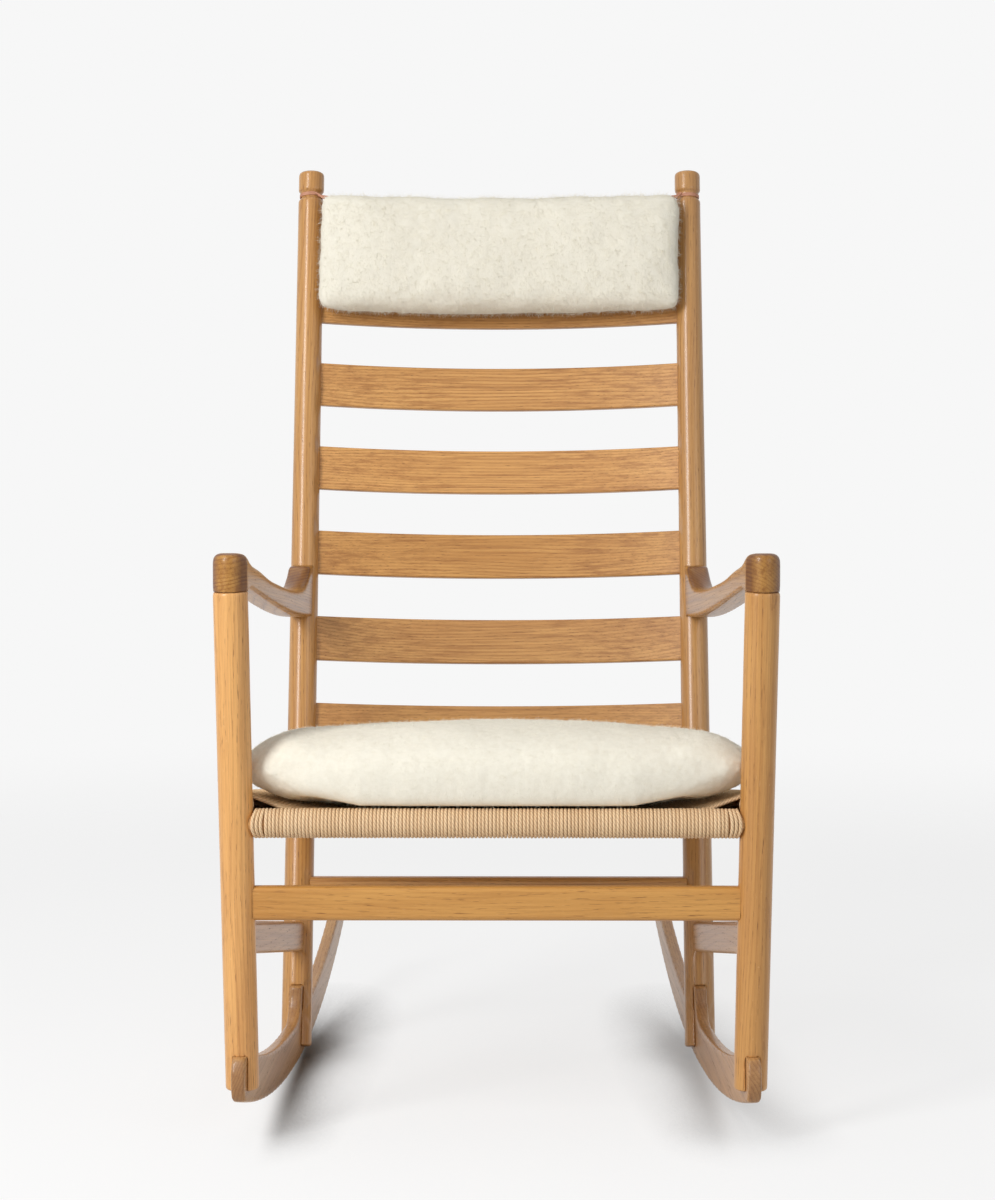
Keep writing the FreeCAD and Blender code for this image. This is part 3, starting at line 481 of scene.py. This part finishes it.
class Tubes:
    """Collects round tubes in one mesh, with a map of turns round and metres along each."""

    def __init__(self, sides):
        self.sides = sides
        self.vertices = []
        self.faces = []
        self.corners = []
        self.tints = []

    def add(self, points, radius, across, closed=False, start=0.0, tint=0.5):
        """Tube along points that lie in a plane square to across."""
        first = len(self.vertices)
        count = len(points)
        lengths = [start]
        for index, point in enumerate(points):
            before = points[index - 1] if index or closed else point
            after = points[(index + 1) % count] if index < count - 1 or closed else point
            along = (after - before).normalized()
            outward = along.cross(across).normalized()
            if index:
                lengths.append(lengths[-1] + (point - points[index - 1]).length)
            for side in range(self.sides):
                angle = 2 * math.pi * side / self.sides
                self.vertices.append(point + (across * math.cos(angle) + outward * math.sin(angle)) * radius)
        if closed:
            lengths.append(lengths[-1] + (points[0] - points[-1]).length)
        for ring in range(count if closed else count - 1):
            for side in range(self.sides):
                here = first + ring * self.sides
                there = first + ((ring + 1) % count) * self.sides
                next_side = (side + 1) % self.sides
                self.faces.append((here + side, here + next_side, there + next_side, there + side))
                low, high = side / self.sides, (side + 1) / self.sides
                self.corners += [(low, lengths[ring]), (high, lengths[ring]),
                                 (high, lengths[ring + 1]), (low, lengths[ring + 1])]
                self.tints.append(tint)
        if not closed:
            last = first + (count - 1) * self.sides
            for ring, order in ((first, -1), (last, 1)):
                self.faces.append(tuple(range(ring, ring + self.sides))[::order])
                self.corners += [(0.0, 0.0)] * self.sides
                self.tints.append(tint)

    def make(self, name, body, material):
        thing = make_object(name, self.vertices, self.faces, body, material)
        layer = thing.data.uv_layers.new(name="cord")
        layer.data.foreach_set("uv", [value for corner in self.corners for value in corner])
        tint = thing.data.attributes.new("tint", "FLOAT", "FACE")
        tint.data.foreach_set("value", self.tints)
        return thing


def line_of(name):
    """Middles of the two ends of a round rail."""
    node = frame["nodes"][name]
    axis = main_axis(node)
    if axis.x + axis.y < 0:
        axis = -axis
    points = [v.co for v in node.data.vertices]
    places = [p.dot(axis) for p in points]
    ends = []
    for limit, sign in ((min(places), 1), (max(places), -1)):
        slab = [p for p, place in zip(points, places) if (place - limit) * sign < 1 * MM]
        low = Vector([min(p[i] for p in slab) for i in range(3)])
        high = Vector([max(p[i] for p in slab) for i in range(3)])
        ends.append((low + high) / 2)
    return ends


def cord_material():
    material, tree = new_material("paper_cord")
    places = add(tree, "ShaderNodeUVMap", uv_map="cord").outputs["UV"]
    parts = add(tree, "ShaderNodeSeparateXYZ", {"Vector": places}).outputs
    twist = calc(tree, "ADD", calc(tree, "MULTIPLY", parts[0], 3.0),
                 calc(tree, "MULTIPLY", parts[1], 3.0 / CORD_LAY))
    ply = calc(tree, "ABSOLUTE", calc(tree, "SINE", calc(tree, "MULTIPLY", twist, math.pi)))
    tint = add(tree, "ShaderNodeAttribute", attribute_name="tint").outputs["Fac"]
    place = add(tree, "ShaderNodeTexCoord").outputs["Object"]
    paper = grain_noise(tree, place, (420.0, 420.0, 420.0), 3.0)
    share = calc(tree, "ADD", calc(tree, "MULTIPLY", tint, 0.55), calc(tree, "MULTIPLY", paper, 0.45))
    colour = mix(tree, share, PAPER_LIGHT, PAPER_DARK)
    # Painted shade in the grooves between the twisted plies
    colour = mix(tree, between(tree, ply, 0.45, 0.0, 0.0, 0.75), colour, PAINTED_GROOVE_SHADE)
    finish_material(tree, {"Base Color": colour, "Roughness": 0.62, "Specular IOR Level": 0.3},
                    ply, 0.9, 0.6 * MM)
    return material


def arc_points(centre, radius, start, end, first_way, second_way, steps):
    """Points on an arc from angle start to end, in degrees, measured from first to second way."""
    points = []
    for step in range(steps + 1):
        angle = math.radians(start + (end - start) * step / steps)
        points.append(centre + (first_way * math.cos(angle) + second_way * math.sin(angle)) * radius)
    return points


def weave_seat():
    """Single cords of the seat: out over a rail, round it and back under it, and extra wraps."""
    rng = random.Random(7)
    tubes = Tubes(CORD_SIDES)
    wrap = RAIL_RADIUS + CORD_FIT + CORD / 2
    front = line_of("front_seat_rail")
    back = line_of("back_seat_rail")
    sides = {-1: line_of("left_seat_rail"), 1: line_of("right_seat_rail")}
    front_y = front[0].y
    back_y = back[0].y
    length = back_y - front_y
    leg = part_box("right_front_leg")
    leg_half = (leg[1].y - leg[0].y) / 2
    leg_inner = abs(front[0].x) + LEG_REACH - 2 * leg_half
    post_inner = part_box("back_stretcher")[1].x
    front_x = leg_inner - CORNER_GAP
    back_x = post_inner - BACK_CORNER_GAP
    middle = Vector((WEAVE_HALF, front_y + length * WEAVE_MIDDLE_SHARE, 0))
    middle_top = front[0].z - WEAVE_DROP
    middle_under = front[0].z - WEAVE_UNDER_DROP
    tops = {"front": front[0].z + wrap, "back": back[0].z + wrap}
    unders = {"front": front[0].z - wrap, "back": back[0].z - wrap}

    def strand(centre, inward, across, seam_point, seam_top, seam_under, tint):
        """One cord in the plane square to across: seam, rail top, round the rail, underside, seam."""
        high = centre + UP * wrap
        low = centre - UP * wrap
        top_end = Vector((seam_point.x, seam_point.y, seam_top))
        low_end = Vector((seam_point.x, seam_point.y, seam_under))
        dip = inward * SEAM_STEP
        points = [top_end + dip - UP * SEAM_DIP, top_end, top_end.lerp(high, 0.5)]
        points += arc_points(centre, wrap, 90, -90, inward * -1, UP, 9)
        points += [low_end.lerp(low, 0.5), low_end, low_end + dip + UP * SEAM_DIP]
        tubes.add(points, CORD / 2 * rng.uniform(*CORD_WIDTHS), across, start=rng.uniform(0, 1), tint=tint)

    # Cords over the front and back rails
    for name, rail, corner_x, inward in (("front", front, front_x, Vector((0, 1, 0))),
                                         ("back", back, back_x, Vector((0, -1, 0)))):
        count = int(2 * corner_x / CORD_PITCH)
        for index in range(count):
            x = -corner_x + 2 * corner_x * (index + 0.5) / count
            share = min(1.0, (corner_x - abs(x)) / (corner_x - middle.x))
            y = rail[0].y + (middle.y - rail[0].y) * share
            centre = Vector((x + rng.uniform(-CORD_SHIFT, CORD_SHIFT), rail[0].y, rail[0].z))
            top = tops[name] + (middle_top - tops[name]) * share
            under = unders[name] + (middle_under - unders[name]) * share
            strand(centre, inward, ACROSS, Vector((x, y, 0)), top, under, rng.random())

    # Cords over the side rails
    for side, (start, end) in sides.items():
        first_y = front_y + leg_half + CORD
        last_y = back_y - SIDE_BACK
        count = int((last_y - first_y) / CORD_PITCH)
        inward = Vector((-side, 0, 0))
        for index in range(count):
            y = first_y + (last_y - first_y) * (index + 0.5) / count
            centre = start + (end - start) * ((y - start.y) / (end.y - start.y))
            corner_x, name = (front_x, "front") if y < middle.y else (back_x, "back")
            corner_y = front_y if y < middle.y else back_y
            share = (y - corner_y) / (middle.y - corner_y)
            x = side * (corner_x + (middle.x - corner_x) * share)
            top = tops[name] + (middle_top - tops[name]) * share
            under = unders[name] + (middle_under - unders[name]) * share
            strand(centre, inward, Vector((0, 1, 0)), Vector((x, y, 0)), top, under, rng.random())

    # Extra wraps that fill the rails' ends
    def ring(centre, across, first_way, second_way, bulge=0.0):
        """One turn round a rail. bulge moves its outer half along the rail."""
        points = arc_points(centre, wrap, 0, 360, first_way, second_way, 20)[:-1]
        points = [point + across * (bulge * max(0.0, -(point - centre).dot(first_way) / wrap) ** 2)
                  for point in points]
        tubes.add(points, CORD / 2, across, closed=True, start=rng.uniform(0, 1), tint=rng.random())

    wrap_limit = leg_inner + LEG_TUCK
    for sign in (-1, 1):
        extra = int((wrap_limit - front_x) / CORD_PITCH) + 1
        for index in range(extra):
            x = front_x + (wrap_limit - front_x) * (index + 0.5) / extra
            near = max(0.0, 1 - (extra - 1 - index) / BULGED_WRAPS)
            ring(Vector((sign * x, front[0].y, front[0].z)), ACROSS, Vector((0, 1, 0)), UP,
                 sign * WRAP_BULGE * near)
        back_limit = post_inner - POST_TUCK
        extra = int((back_limit - back_x) / CORD_PITCH)
        for index in range(extra):
            x = back_x + (back_limit - back_x) * (index + 0.5) / extra
            ring(Vector((sign * x, back[0].y, back[0].z)), ACROSS, Vector((0, 1, 0)), UP)
        start, end = sides[sign]
        along = (end - start).normalized()
        outward = along.cross(UP).normalized()
        upward = outward.cross(along)
        for low_y, high_y in ((front_y + SIDE_START, front_y + leg_half + CORD),
                              (back_y - SIDE_BACK, back_y - SIDE_END)):
            extra = max(1, int((high_y - low_y) / CORD_PITCH))
            for index in range(extra):
                y = low_y + (high_y - low_y) * (index + 0.5) / extra
                centre = start + (end - start) * ((y - start.y) / (end.y - start.y))
                ring(centre, along, outward, upward)

    thing = tubes.make("woven_seat", "chair_frame", cord_material())
    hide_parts("seat_weave")
    return thing


def wool_material(name, nap_way, shade, clumping):
    """Raised wool cloth. nap_way stretches the lie of the nap, clumping sets how much its clumps darken the
    cloth and stand out, and shade sets the value, which is lower for the pillow as painted shade.
    """
    material, tree = new_material(name)
    place = add(tree, "ShaderNodeTexCoord").outputs["Object"]
    clumps = grain_noise(tree, place, tuple(150.0 / way for way in nap_way), 4.0, 0.62)
    hairs = grain_noise(tree, place, tuple(1100.0 / way ** 2 for way in nap_way), 3.0, 0.6)
    broad = grain_noise(tree, place, (16.0, 16.0, 16.0), 2.0)
    share = between(tree, clumps, 0.35, 0.72, 0.0, clumping)
    share = calc(tree, "ADD", share, between(tree, hairs, 0.40, 0.75, 0.0, 0.22))
    share = calc(tree, "ADD", share, between(tree, broad, 0.35, 0.70, 0.0, 0.12))
    colour = mix(tree, share, WOOL_LIGHT, WOOL_DARK)
    colour = add(tree, "ShaderNodeHueSaturation", {"Color": colour, "Value": shade}).outputs[0]
    height = calc(tree, "ADD", calc(tree, "MULTIPLY", clumps, clumping * 1.3),
                  calc(tree, "MULTIPLY", hairs, 0.5))
    finish_material(tree, {"Base Color": colour, "Roughness": 0.95, "Specular IOR Level": 0.1},
                    height, 0.6, 1.6 * MM)
    return material


def outer_shell(node, name):
    """Copy of the outside of a CAD node's mesh as a new object."""
    work = bmesh.new()
    work.from_mesh(node.data)
    bmesh.ops.remove_doubles(work, verts=work.verts, dist=0.02 * MM)
    best, seen = [], set()
    for start in work.verts:
        if start in seen:
            continue
        island, stack = [], [start]
        seen.add(start)
        while stack:
            vert = stack.pop()
            island.append(vert)
            for edge in vert.link_edges:
                other = edge.other_vert(vert)
                if other not in seen:
                    seen.add(other)
                    stack.append(other)
        width = max(v.co.x for v in island) - min(v.co.x for v in island)
        if not best or width > max(v.co.x for v in best) - min(v.co.x for v in best):
            best = island
    keep = set(best)
    bmesh.ops.delete(work, geom=[v for v in work.verts if v not in keep], context="VERTS")
    mesh = bpy.data.meshes.new(name)
    work.to_mesh(mesh)
    work.free()
    thing = bpy.data.objects.new(name, mesh)
    bpy.context.scene.collection.objects.link(thing)
    return thing


def apply_modifiers(thing):
    """Puts the result of a piece's modifiers in its mesh."""
    seen = thing.evaluated_get(bpy.context.evaluated_depsgraph_get())
    mesh = bpy.data.meshes.new_from_object(seen)
    old = thing.data
    thing.modifiers.clear()
    thing.data = mesh
    bpy.data.meshes.remove(old)


def remesh(thing, size):
    modifier = thing.modifiers.new("remesh", "REMESH")
    modifier.mode = "VOXEL"
    modifier.voxel_size = size
    modifier.use_smooth_shade = True
    apply_modifiers(thing)


def puff(thing, held, cap):
    """Cloth under pressure. held gives how firmly each point stays, and cap how far one may move."""
    start = [v.co.copy() for v in thing.data.vertices]
    group = thing.vertex_groups.new(name="held")
    for vertex in thing.data.vertices:
        group.add([vertex.index], held(vertex), "REPLACE")
    cloth = thing.modifiers.new("cloth", "CLOTH")
    settings = cloth.settings
    settings.use_pressure = True
    settings.uniform_pressure_force = CLOTH_PRESSURE
    settings.vertex_group_mass = "held"
    settings.effector_weights.gravity = 0
    settings.tension_stiffness = 12
    settings.compression_stiffness = 6
    settings.bending_stiffness = 1.2
    settings.quality = 6
    scene = bpy.context.scene
    scene.frame_start, scene.frame_end = 1, CLOTH_FRAMES
    cloth.point_cache.frame_start, cloth.point_cache.frame_end = 1, CLOTH_FRAMES
    for number in range(1, CLOTH_FRAMES + 1):
        scene.frame_set(number)
    apply_modifiers(thing)
    scene.frame_set(1)
    for vertex, origin in zip(thing.data.vertices, start):
        move = vertex.co - origin
        if move.length > cap:
            vertex.co = origin + move.normalized() * cap
    thing.vertex_groups.clear()


def roughen(thing, layers):
    """Moves each point along its normal by layers of smooth noise, as (cell, depth) pairs."""
    mesh = thing.data
    normals = [v.normal.copy() for v in mesh.vertices]
    for vertex, normal in zip(mesh.vertices, normals):
        push = 0.0
        for index, (cell, depth) in enumerate(layers):
            push += noise.noise(vertex.co / cell + Vector((index * 31.7, 0, 0))) * depth
        vertex.co += normal * push


def subdivide(thing, levels):
    modifier = thing.modifiers.new("subdivision", "SUBSURF")
    modifier.levels = levels
    modifier.render_levels = levels
    apply_modifiers(thing)
    for polygon in thing.data.polygons:
        polygon.use_smooth = True


def soft_piece(node_names, name, body, material, held, cap, layers):
    thing = outer_shell(frame["nodes"][node_names[0]], name)
    remesh(thing, CLOTH_CELL)
    puff(thing, held, cap)
    subdivide(thing, 1)
    roughen(thing, layers)
    thing.data.materials.clear()
    thing.data.materials.append(material)
    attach(thing, body)
    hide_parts(*node_names)
    return thing


def round_corners(thing, radius):
    """Rounds the four corners of the pillow's front view."""
    mesh = thing.data
    heights = [v.co.dot(RISE) for v in mesh.vertices]
    middle = (min(heights) + max(heights)) / 2
    half_width = max(abs(v.co.x) for v in mesh.vertices)
    half_height = max(heights) - middle
    for vertex, height in zip(mesh.vertices, heights):
        across = abs(vertex.co.x) - (half_width - radius)
        up = abs(height - middle) - (half_height - radius)
        reach = math.hypot(across, up)
        if across > 0 and up > 0 and reach > radius:
            pull = 1 - radius / reach
            vertex.co.x -= math.copysign(across * pull, vertex.co.x)
            vertex.co -= RISE * math.copysign(up * pull, height - middle)


def lift_tips(thing):
    """Raises the underside of the cushion's two ends, which hang free of the weave."""
    mesh = thing.data
    width = max(abs(v.co.x) for v in mesh.vertices)
    low = min(v.co.z for v in mesh.vertices)
    high = max(v.co.z for v in mesh.vertices)
    for vertex in mesh.vertices:
        lift = TIP_LIFTS[0] if vertex.co.x < 0 else TIP_LIFTS[1]
        share = max(0.0, (abs(vertex.co.x) - (width - TIP_REACH)) / TIP_REACH)
        under = 1 - (vertex.co.z - low) / (high - low)
        vertex.co.z += lift * share ** 1.5 * under


def settle_front(thing):
    """Lets the cushion's lower front edge sink to the wrapped rail and swell out over it.

    Its two ends stay up, and its crown rises a little.
    """
    rail = line_of("front_seat_rail")[0]
    floor = rail.z + RAIL_RADIUS + CORD_FIT + CORD + SETTLE_GAP
    front = min(v.co.y for v in thing.data.vertices)
    high = max(v.co.z for v in thing.data.vertices)
    for vertex in thing.data.vertices:
        inward = 1 - min(1.0, (vertex.co.y - front) / SETTLE_REACH) ** 2
        under = min(1.0, max(0.0, (floor + SETTLE_HEIGHT - vertex.co.z) / SETTLE_FADE))
        end = min(1.0, max(0.0, (SETTLE_ENDS[1] - abs(vertex.co.x)) / (SETTLE_ENDS[1] - SETTLE_ENDS[0])))
        share = inward * under ** 2 * (3 - 2 * under) * end
        belly = max(0.0, 1 - ((vertex.co.z - floor - BELLY_RISE) / BELLY_HALF) ** 2)
        ahead = 1 - min(1.0, (vertex.co.y - front) / SETTLE_ROUND)
        target = floor + SETTLE_ROUND * (1 - math.sqrt(1 - min(1.0, ahead) ** 2))
        vertex.co.z -= max(0.0, vertex.co.z - target) * share
        vertex.co.z += CROWN_LIFT * max(0.0, (vertex.co.z - floor) / (high - floor))
        vertex.co.y -= BELLY * inward * belly * end


def nap(thing, name, body, material, count, lengths, seed):
    """Loose fibres of the raised wool: fine closed needles that lean out of the cloth."""
    rng = random.Random(seed)
    mesh = thing.data
    areas = np.cumsum([polygon.area for polygon in mesh.polygons])
    vertices, faces = [], []
    for _ in range(count):
        polygon = mesh.polygons[int(np.searchsorted(areas, rng.random() * areas[-1]))]
        corners = [mesh.vertices[i].co for i in polygon.vertices]
        first, second, third = rng.sample(corners, 3)
        base = first.lerp(second, rng.random()).lerp(third, rng.random() * 0.5)
        way = Vector([rng.gauss(0, 1) for _ in range(3)]) - UP * NAP_DROOP
        way -= polygon.normal * way.dot(polygon.normal)
        way.normalize()
        lean = rng.uniform(NAP_LEAN_LEAST, NAP_LEAN_MOST)
        along = way * math.sin(lean) + polygon.normal * math.cos(lean)
        side = along.orthogonal().normalized()
        other = along.cross(side)
        start = len(vertices)
        for turn in range(3):
            angle = 2 * math.pi * turn / 3
            vertices.append(base - along * NAP_WIDTH
                            + (side * math.cos(angle) + other * math.sin(angle)) * NAP_WIDTH)
        vertices.append(base + along * rng.uniform(*lengths))
        faces += [(start, start + 1, start + 3), (start + 1, start + 2, start + 3),
                  (start + 2, start, start + 3), (start + 2, start + 1, start)]
    fibres = make_object(name, vertices, faces, body, material, smooth=False)


def seat_cushion():
    def held(vertex):
        return HELD if vertex.normal.z < -0.2 else LOOSE

    wool = wool_material("cushion_wool", (1.0, 1.0, 1.0), 1.02, 0.26)
    thing = soft_piece(("seat_cushion_cover", "seat_cushion_filling"), "seat_cushion", "seat_cushion",
                       wool, held, SEAT_SWELL, SEAT_LUMPS)
    settle_front(thing)
    lift_tips(thing)
    nap(thing, "seat_cushion_nap", "seat_cushion", wool, *SEAT_NAP, "seat nap")
    return thing


def neck_pillow():
    def held(vertex):
        return HELD if vertex.normal.dot(BACK) > 0.3 else LOOSE

    # Darker copy of the cushion's wool: its lower value is painted shade.
    wool = wool_material("pillow_wool", (1.0, 1.0, 2.8), 0.96, 0.16)
    thing = soft_piece(("neck_pillow",), "neck_cushion", "neck_pillow", wool, held,
                       PILLOW_SWELL, PILLOW_LUMPS)
    round_corners(thing, PILLOW_CORNER)
    nap(thing, "neck_cushion_nap", "neck_pillow", wool, *PILLOW_NAP, "neck nap")
    return thing


def leather_material():
    material, tree = new_material("strap_leather")
    place = add(tree, "ShaderNodeTexCoord").outputs["Object"]
    pebble = grain_noise(tree, place, (1400.0, 1400.0, 1400.0), 3.0)
    broad = grain_noise(tree, place, (160.0, 160.0, 160.0), 2.0)
    colour = mix(tree, between(tree, broad, 0.3, 0.7, 0.0, 0.45), LEATHER, LEATHER_DARK)
    finish_material(tree, {"Base Color": colour, "Roughness": 0.55}, pebble, 0.3, 0.2 * MM)
    return material


def band(points, outward, width, thickness):
    """Flat strap along points. outward gives the way its flat side faces at each point."""
    vertices, faces = [], []
    count = len(points)
    for index, point in enumerate(points):
        before = points[max(index - 1, 0)]
        after = points[min(index + 1, count - 1)]
        along = (after - before).normalized()
        face = outward[index] - along * outward[index].dot(along)
        face.normalize()
        side = along.cross(face)
        for across, out in ((-1, -1), (-0.8, 1), (0.8, 1), (1, -1)):
            vertices.append(point + side * (across * width / 2) + face * (out * thickness / 2))
    for index in range(count - 1):
        here, there = index * 4, index * 4 + 4
        for corner in range(4):
            following = (corner + 1) % 4
            faces.append((here + corner, here + following, there + following, there + corner))
    faces.append((3, 2, 1, 0))
    last = (count - 1) * 4
    faces.append((last, last + 1, last + 2, last + 3))
    return vertices, faces


def straps():
    """Leather thongs wound in the necks of the posts, with two tails to the pillow's corner."""
    leather = leather_material()
    for name, sign in (("left", -1), ("right", 1)):
        low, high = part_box(name + "_back_post")
        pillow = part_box("neck_pillow")
        post_x = sign * (abs(low.x) + abs(high.x)) / 2
        strap_low, strap_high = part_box(name + "_pillow_strap")
        strap_reach = NECK_RADIUS + STRAP_SPACE
        centre = Vector((post_x, strap_high.y - strap_reach * math.cos(LEAN),
                         strap_high.z - STRAP_HALF - strap_reach * math.sin(LEAN)))
        inner = min(abs(strap_low.x), abs(strap_high.x))
        mirror = Vector((sign, 1, 1))
        corner = Vector((sign * inner, strap_low.y, pillow[1].z)) + STRAP_CORNER * mirror
        low_corner = corner + STRAP_SPREAD * mirror
        radius = NECK_RADIUS + STRAP_FIT + STRAP_THICKNESS / 2
        points, outward = [], []
        begin = math.radians(-90 - sign * 30)
        last = STRAP_TURNS * STRAP_STEPS
        for step in range(last + 1):
            angle = begin + 2 * math.pi * step / STRAP_STEPS
            way = ACROSS * math.cos(angle) + BACK * math.sin(angle)
            climb = (step / last - 0.5) * (NECK_LENGTH - STRAP_WIDTH - STRAP_EASE)
            points.append(centre + way * radius + RISE * climb)
            outward.append(way)
        first_tail = [corner, (corner + points[0]) / 2 + RISE * UPPER_TAIL_BOW]
        last_tail = [(low_corner + points[-1]) / 2 - RISE * LOWER_TAIL_BOW, low_corner]
        facing = -BACK
        points = first_tail + points + last_tail
        outward = [facing, facing] + outward + [facing, facing]
        vertices, faces = band(points, outward, STRAP_WIDTH, STRAP_THICKNESS)
        thing = make_object(name + "_strap_thong", vertices, faces, "chair_frame", leather)
        smooth = thing.modifiers.new("subdivision", "SUBSURF")
        smooth.levels = 2
        smooth.render_levels = 2
        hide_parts(name + "_pillow_strap")


def seen_rays(tree):
    """1 where the eye, a reflection or a view through glass meets the surface."""
    rays = add(tree, "ShaderNodeLightPath").outputs
    direct = calc(tree, "MAXIMUM", rays["Is Camera Ray"], rays["Is Transmission Ray"])
    return calc(tree, "MAXIMUM", direct, rays["Is Glossy Ray"])


def side_shades(tree, place):
    """Glow of the floor, with painted shadow on the inner side of each rocker, darker at the left one."""
    shades = SEEN_GLOW
    x = add(tree, "ShaderNodeSeparateXYZ", {"Vector": place}).outputs[0]
    for side, weight, beyond, outer in SHADES:
        lean = Vector((side * SHADE_LEAN, 0.0, SHADE_RISE)).normalized()
        open_share = add(tree, "ShaderNodeAmbientOcclusion", {
            "Distance": SHADE_REACH, "Normal": lean}, samples=12).outputs["AO"]
        here = between(tree, calc(tree, "MULTIPLY", x, side), *SHADE_MIDDLE, beyond, 1.0)
        inner = between(tree, calc(tree, "MULTIPLY", x, side), SHADE_START, SHADE_FULL, outer, 1.0)
        here = calc(tree, "MULTIPLY", here, inner)
        dark = calc(tree, "MULTIPLY", between(tree, open_share, 1.0, SHADE_OPEN, 0.0, weight), here)
        shades = calc(tree, "MULTIPLY", shades, calc(tree, "SUBTRACT", 1.0, dark))
    return shades


def make_floor():
    bpy.ops.mesh.primitive_plane_add(size=FLOOR_SIZE, location=FLOOR_MIDDLE)
    floor = bpy.context.object
    floor.name = "studio_floor"
    material, tree = new_material("floor_paint")
    place = add(tree, "ShaderNodeTexCoord").outputs["Object"]
    far = add(tree, "ShaderNodeVectorMath", {0: place, 1: FLOOR_MIDDLE}, operation="ADD").outputs[0]
    distance = add(tree, "ShaderNodeVectorMath", {0: far}, operation="LENGTH").outputs["Value"]
    paint = add(tree, "ShaderNodeBsdfDiffuse", {"Color": FLOOR_WHITE})
    glow = add(tree, "ShaderNodeEmission", {"Color": BACKDROP, "Strength": side_shades(tree, place)})
    lifted = add(tree, "ShaderNodeMixShader", {0: SEEN_SHARE, 1: paint.outputs[0], 2: glow.outputs[0]})
    floor_shader = add(tree, "ShaderNodeMixShader", {
        0: seen_rays(tree), 1: paint.outputs[0], 2: lifted.outputs[0]})
    clear = add(tree, "ShaderNodeBsdfTransparent")
    fade = between(tree, distance, *FLOOR_FADE)
    surface = add(tree, "ShaderNodeMixShader", {0: fade, 1: floor_shader.outputs[0], 2: clear.outputs[0]})
    add(tree, "ShaderNodeOutputMaterial", {"Surface": surface.outputs[0]})
    floor.data.materials.append(material)


def area_light(name, place, size, power, aim):
    """Soft box of a width and height that faces the middle of the chair at the height aim."""
    data = bpy.data.lights.new(name, "AREA")
    data.shape = "RECTANGLE"
    data.size, data.size_y = size
    data.energy = power
    lamp = bpy.data.objects.new(name, data)
    bpy.context.scene.collection.objects.link(lamp)
    lamp.location = place
    lamp.rotation_euler = (UP * aim - Vector(place)).to_track_quat("-Z", "Y").to_euler()


def light_scene():
    area_light("key", *KEY_LAMP)
    area_light("fill", *FILL_LAMP)
    area_light("top", *TOP_LAMP)
    world = bpy.data.worlds.new("studio")
    bpy.context.scene.world = world
    world.use_nodes = True
    tree = world.node_tree
    tree.nodes.clear()
    soft = add(tree, "ShaderNodeBackground", {"Color": (1, 1, 1, 1), "Strength": SOFT_LIGHT})
    seen = add(tree, "ShaderNodeBackground", {"Color": BACKDROP, "Strength": 1.0})
    surface = add(tree, "ShaderNodeMixShader", {
        0: seen_rays(tree), 1: soft.outputs[0], 2: seen.outputs[0]})
    add(tree, "ShaderNodeOutputWorld", {"Surface": surface.outputs[0]})


def place_camera():
    data = bpy.data.cameras.new("photo_camera")
    data.sensor_width = SENSOR
    data.lens = SENSOR * CAMERA_FOCAL / PHOTO_HEIGHT
    data.shift_y = CAMERA_SHIFT / PHOTO_HEIGHT
    data.dof.use_dof = False
    camera = bpy.data.objects.new("photo_camera", data)
    bpy.context.scene.collection.objects.link(camera)
    camera.location = CAMERA_PLACE
    camera.rotation_euler = (math.pi / 2 - CAMERA_TILT, 0, CAMERA_YAW)
    bpy.context.scene.camera = camera


bpy.context.scene.view_settings.view_transform = "Standard"
place_camera()
light_scene()
make_floor()
dress_wood()
weave_seat()
seat_cushion()
neck_pillow()
straps()
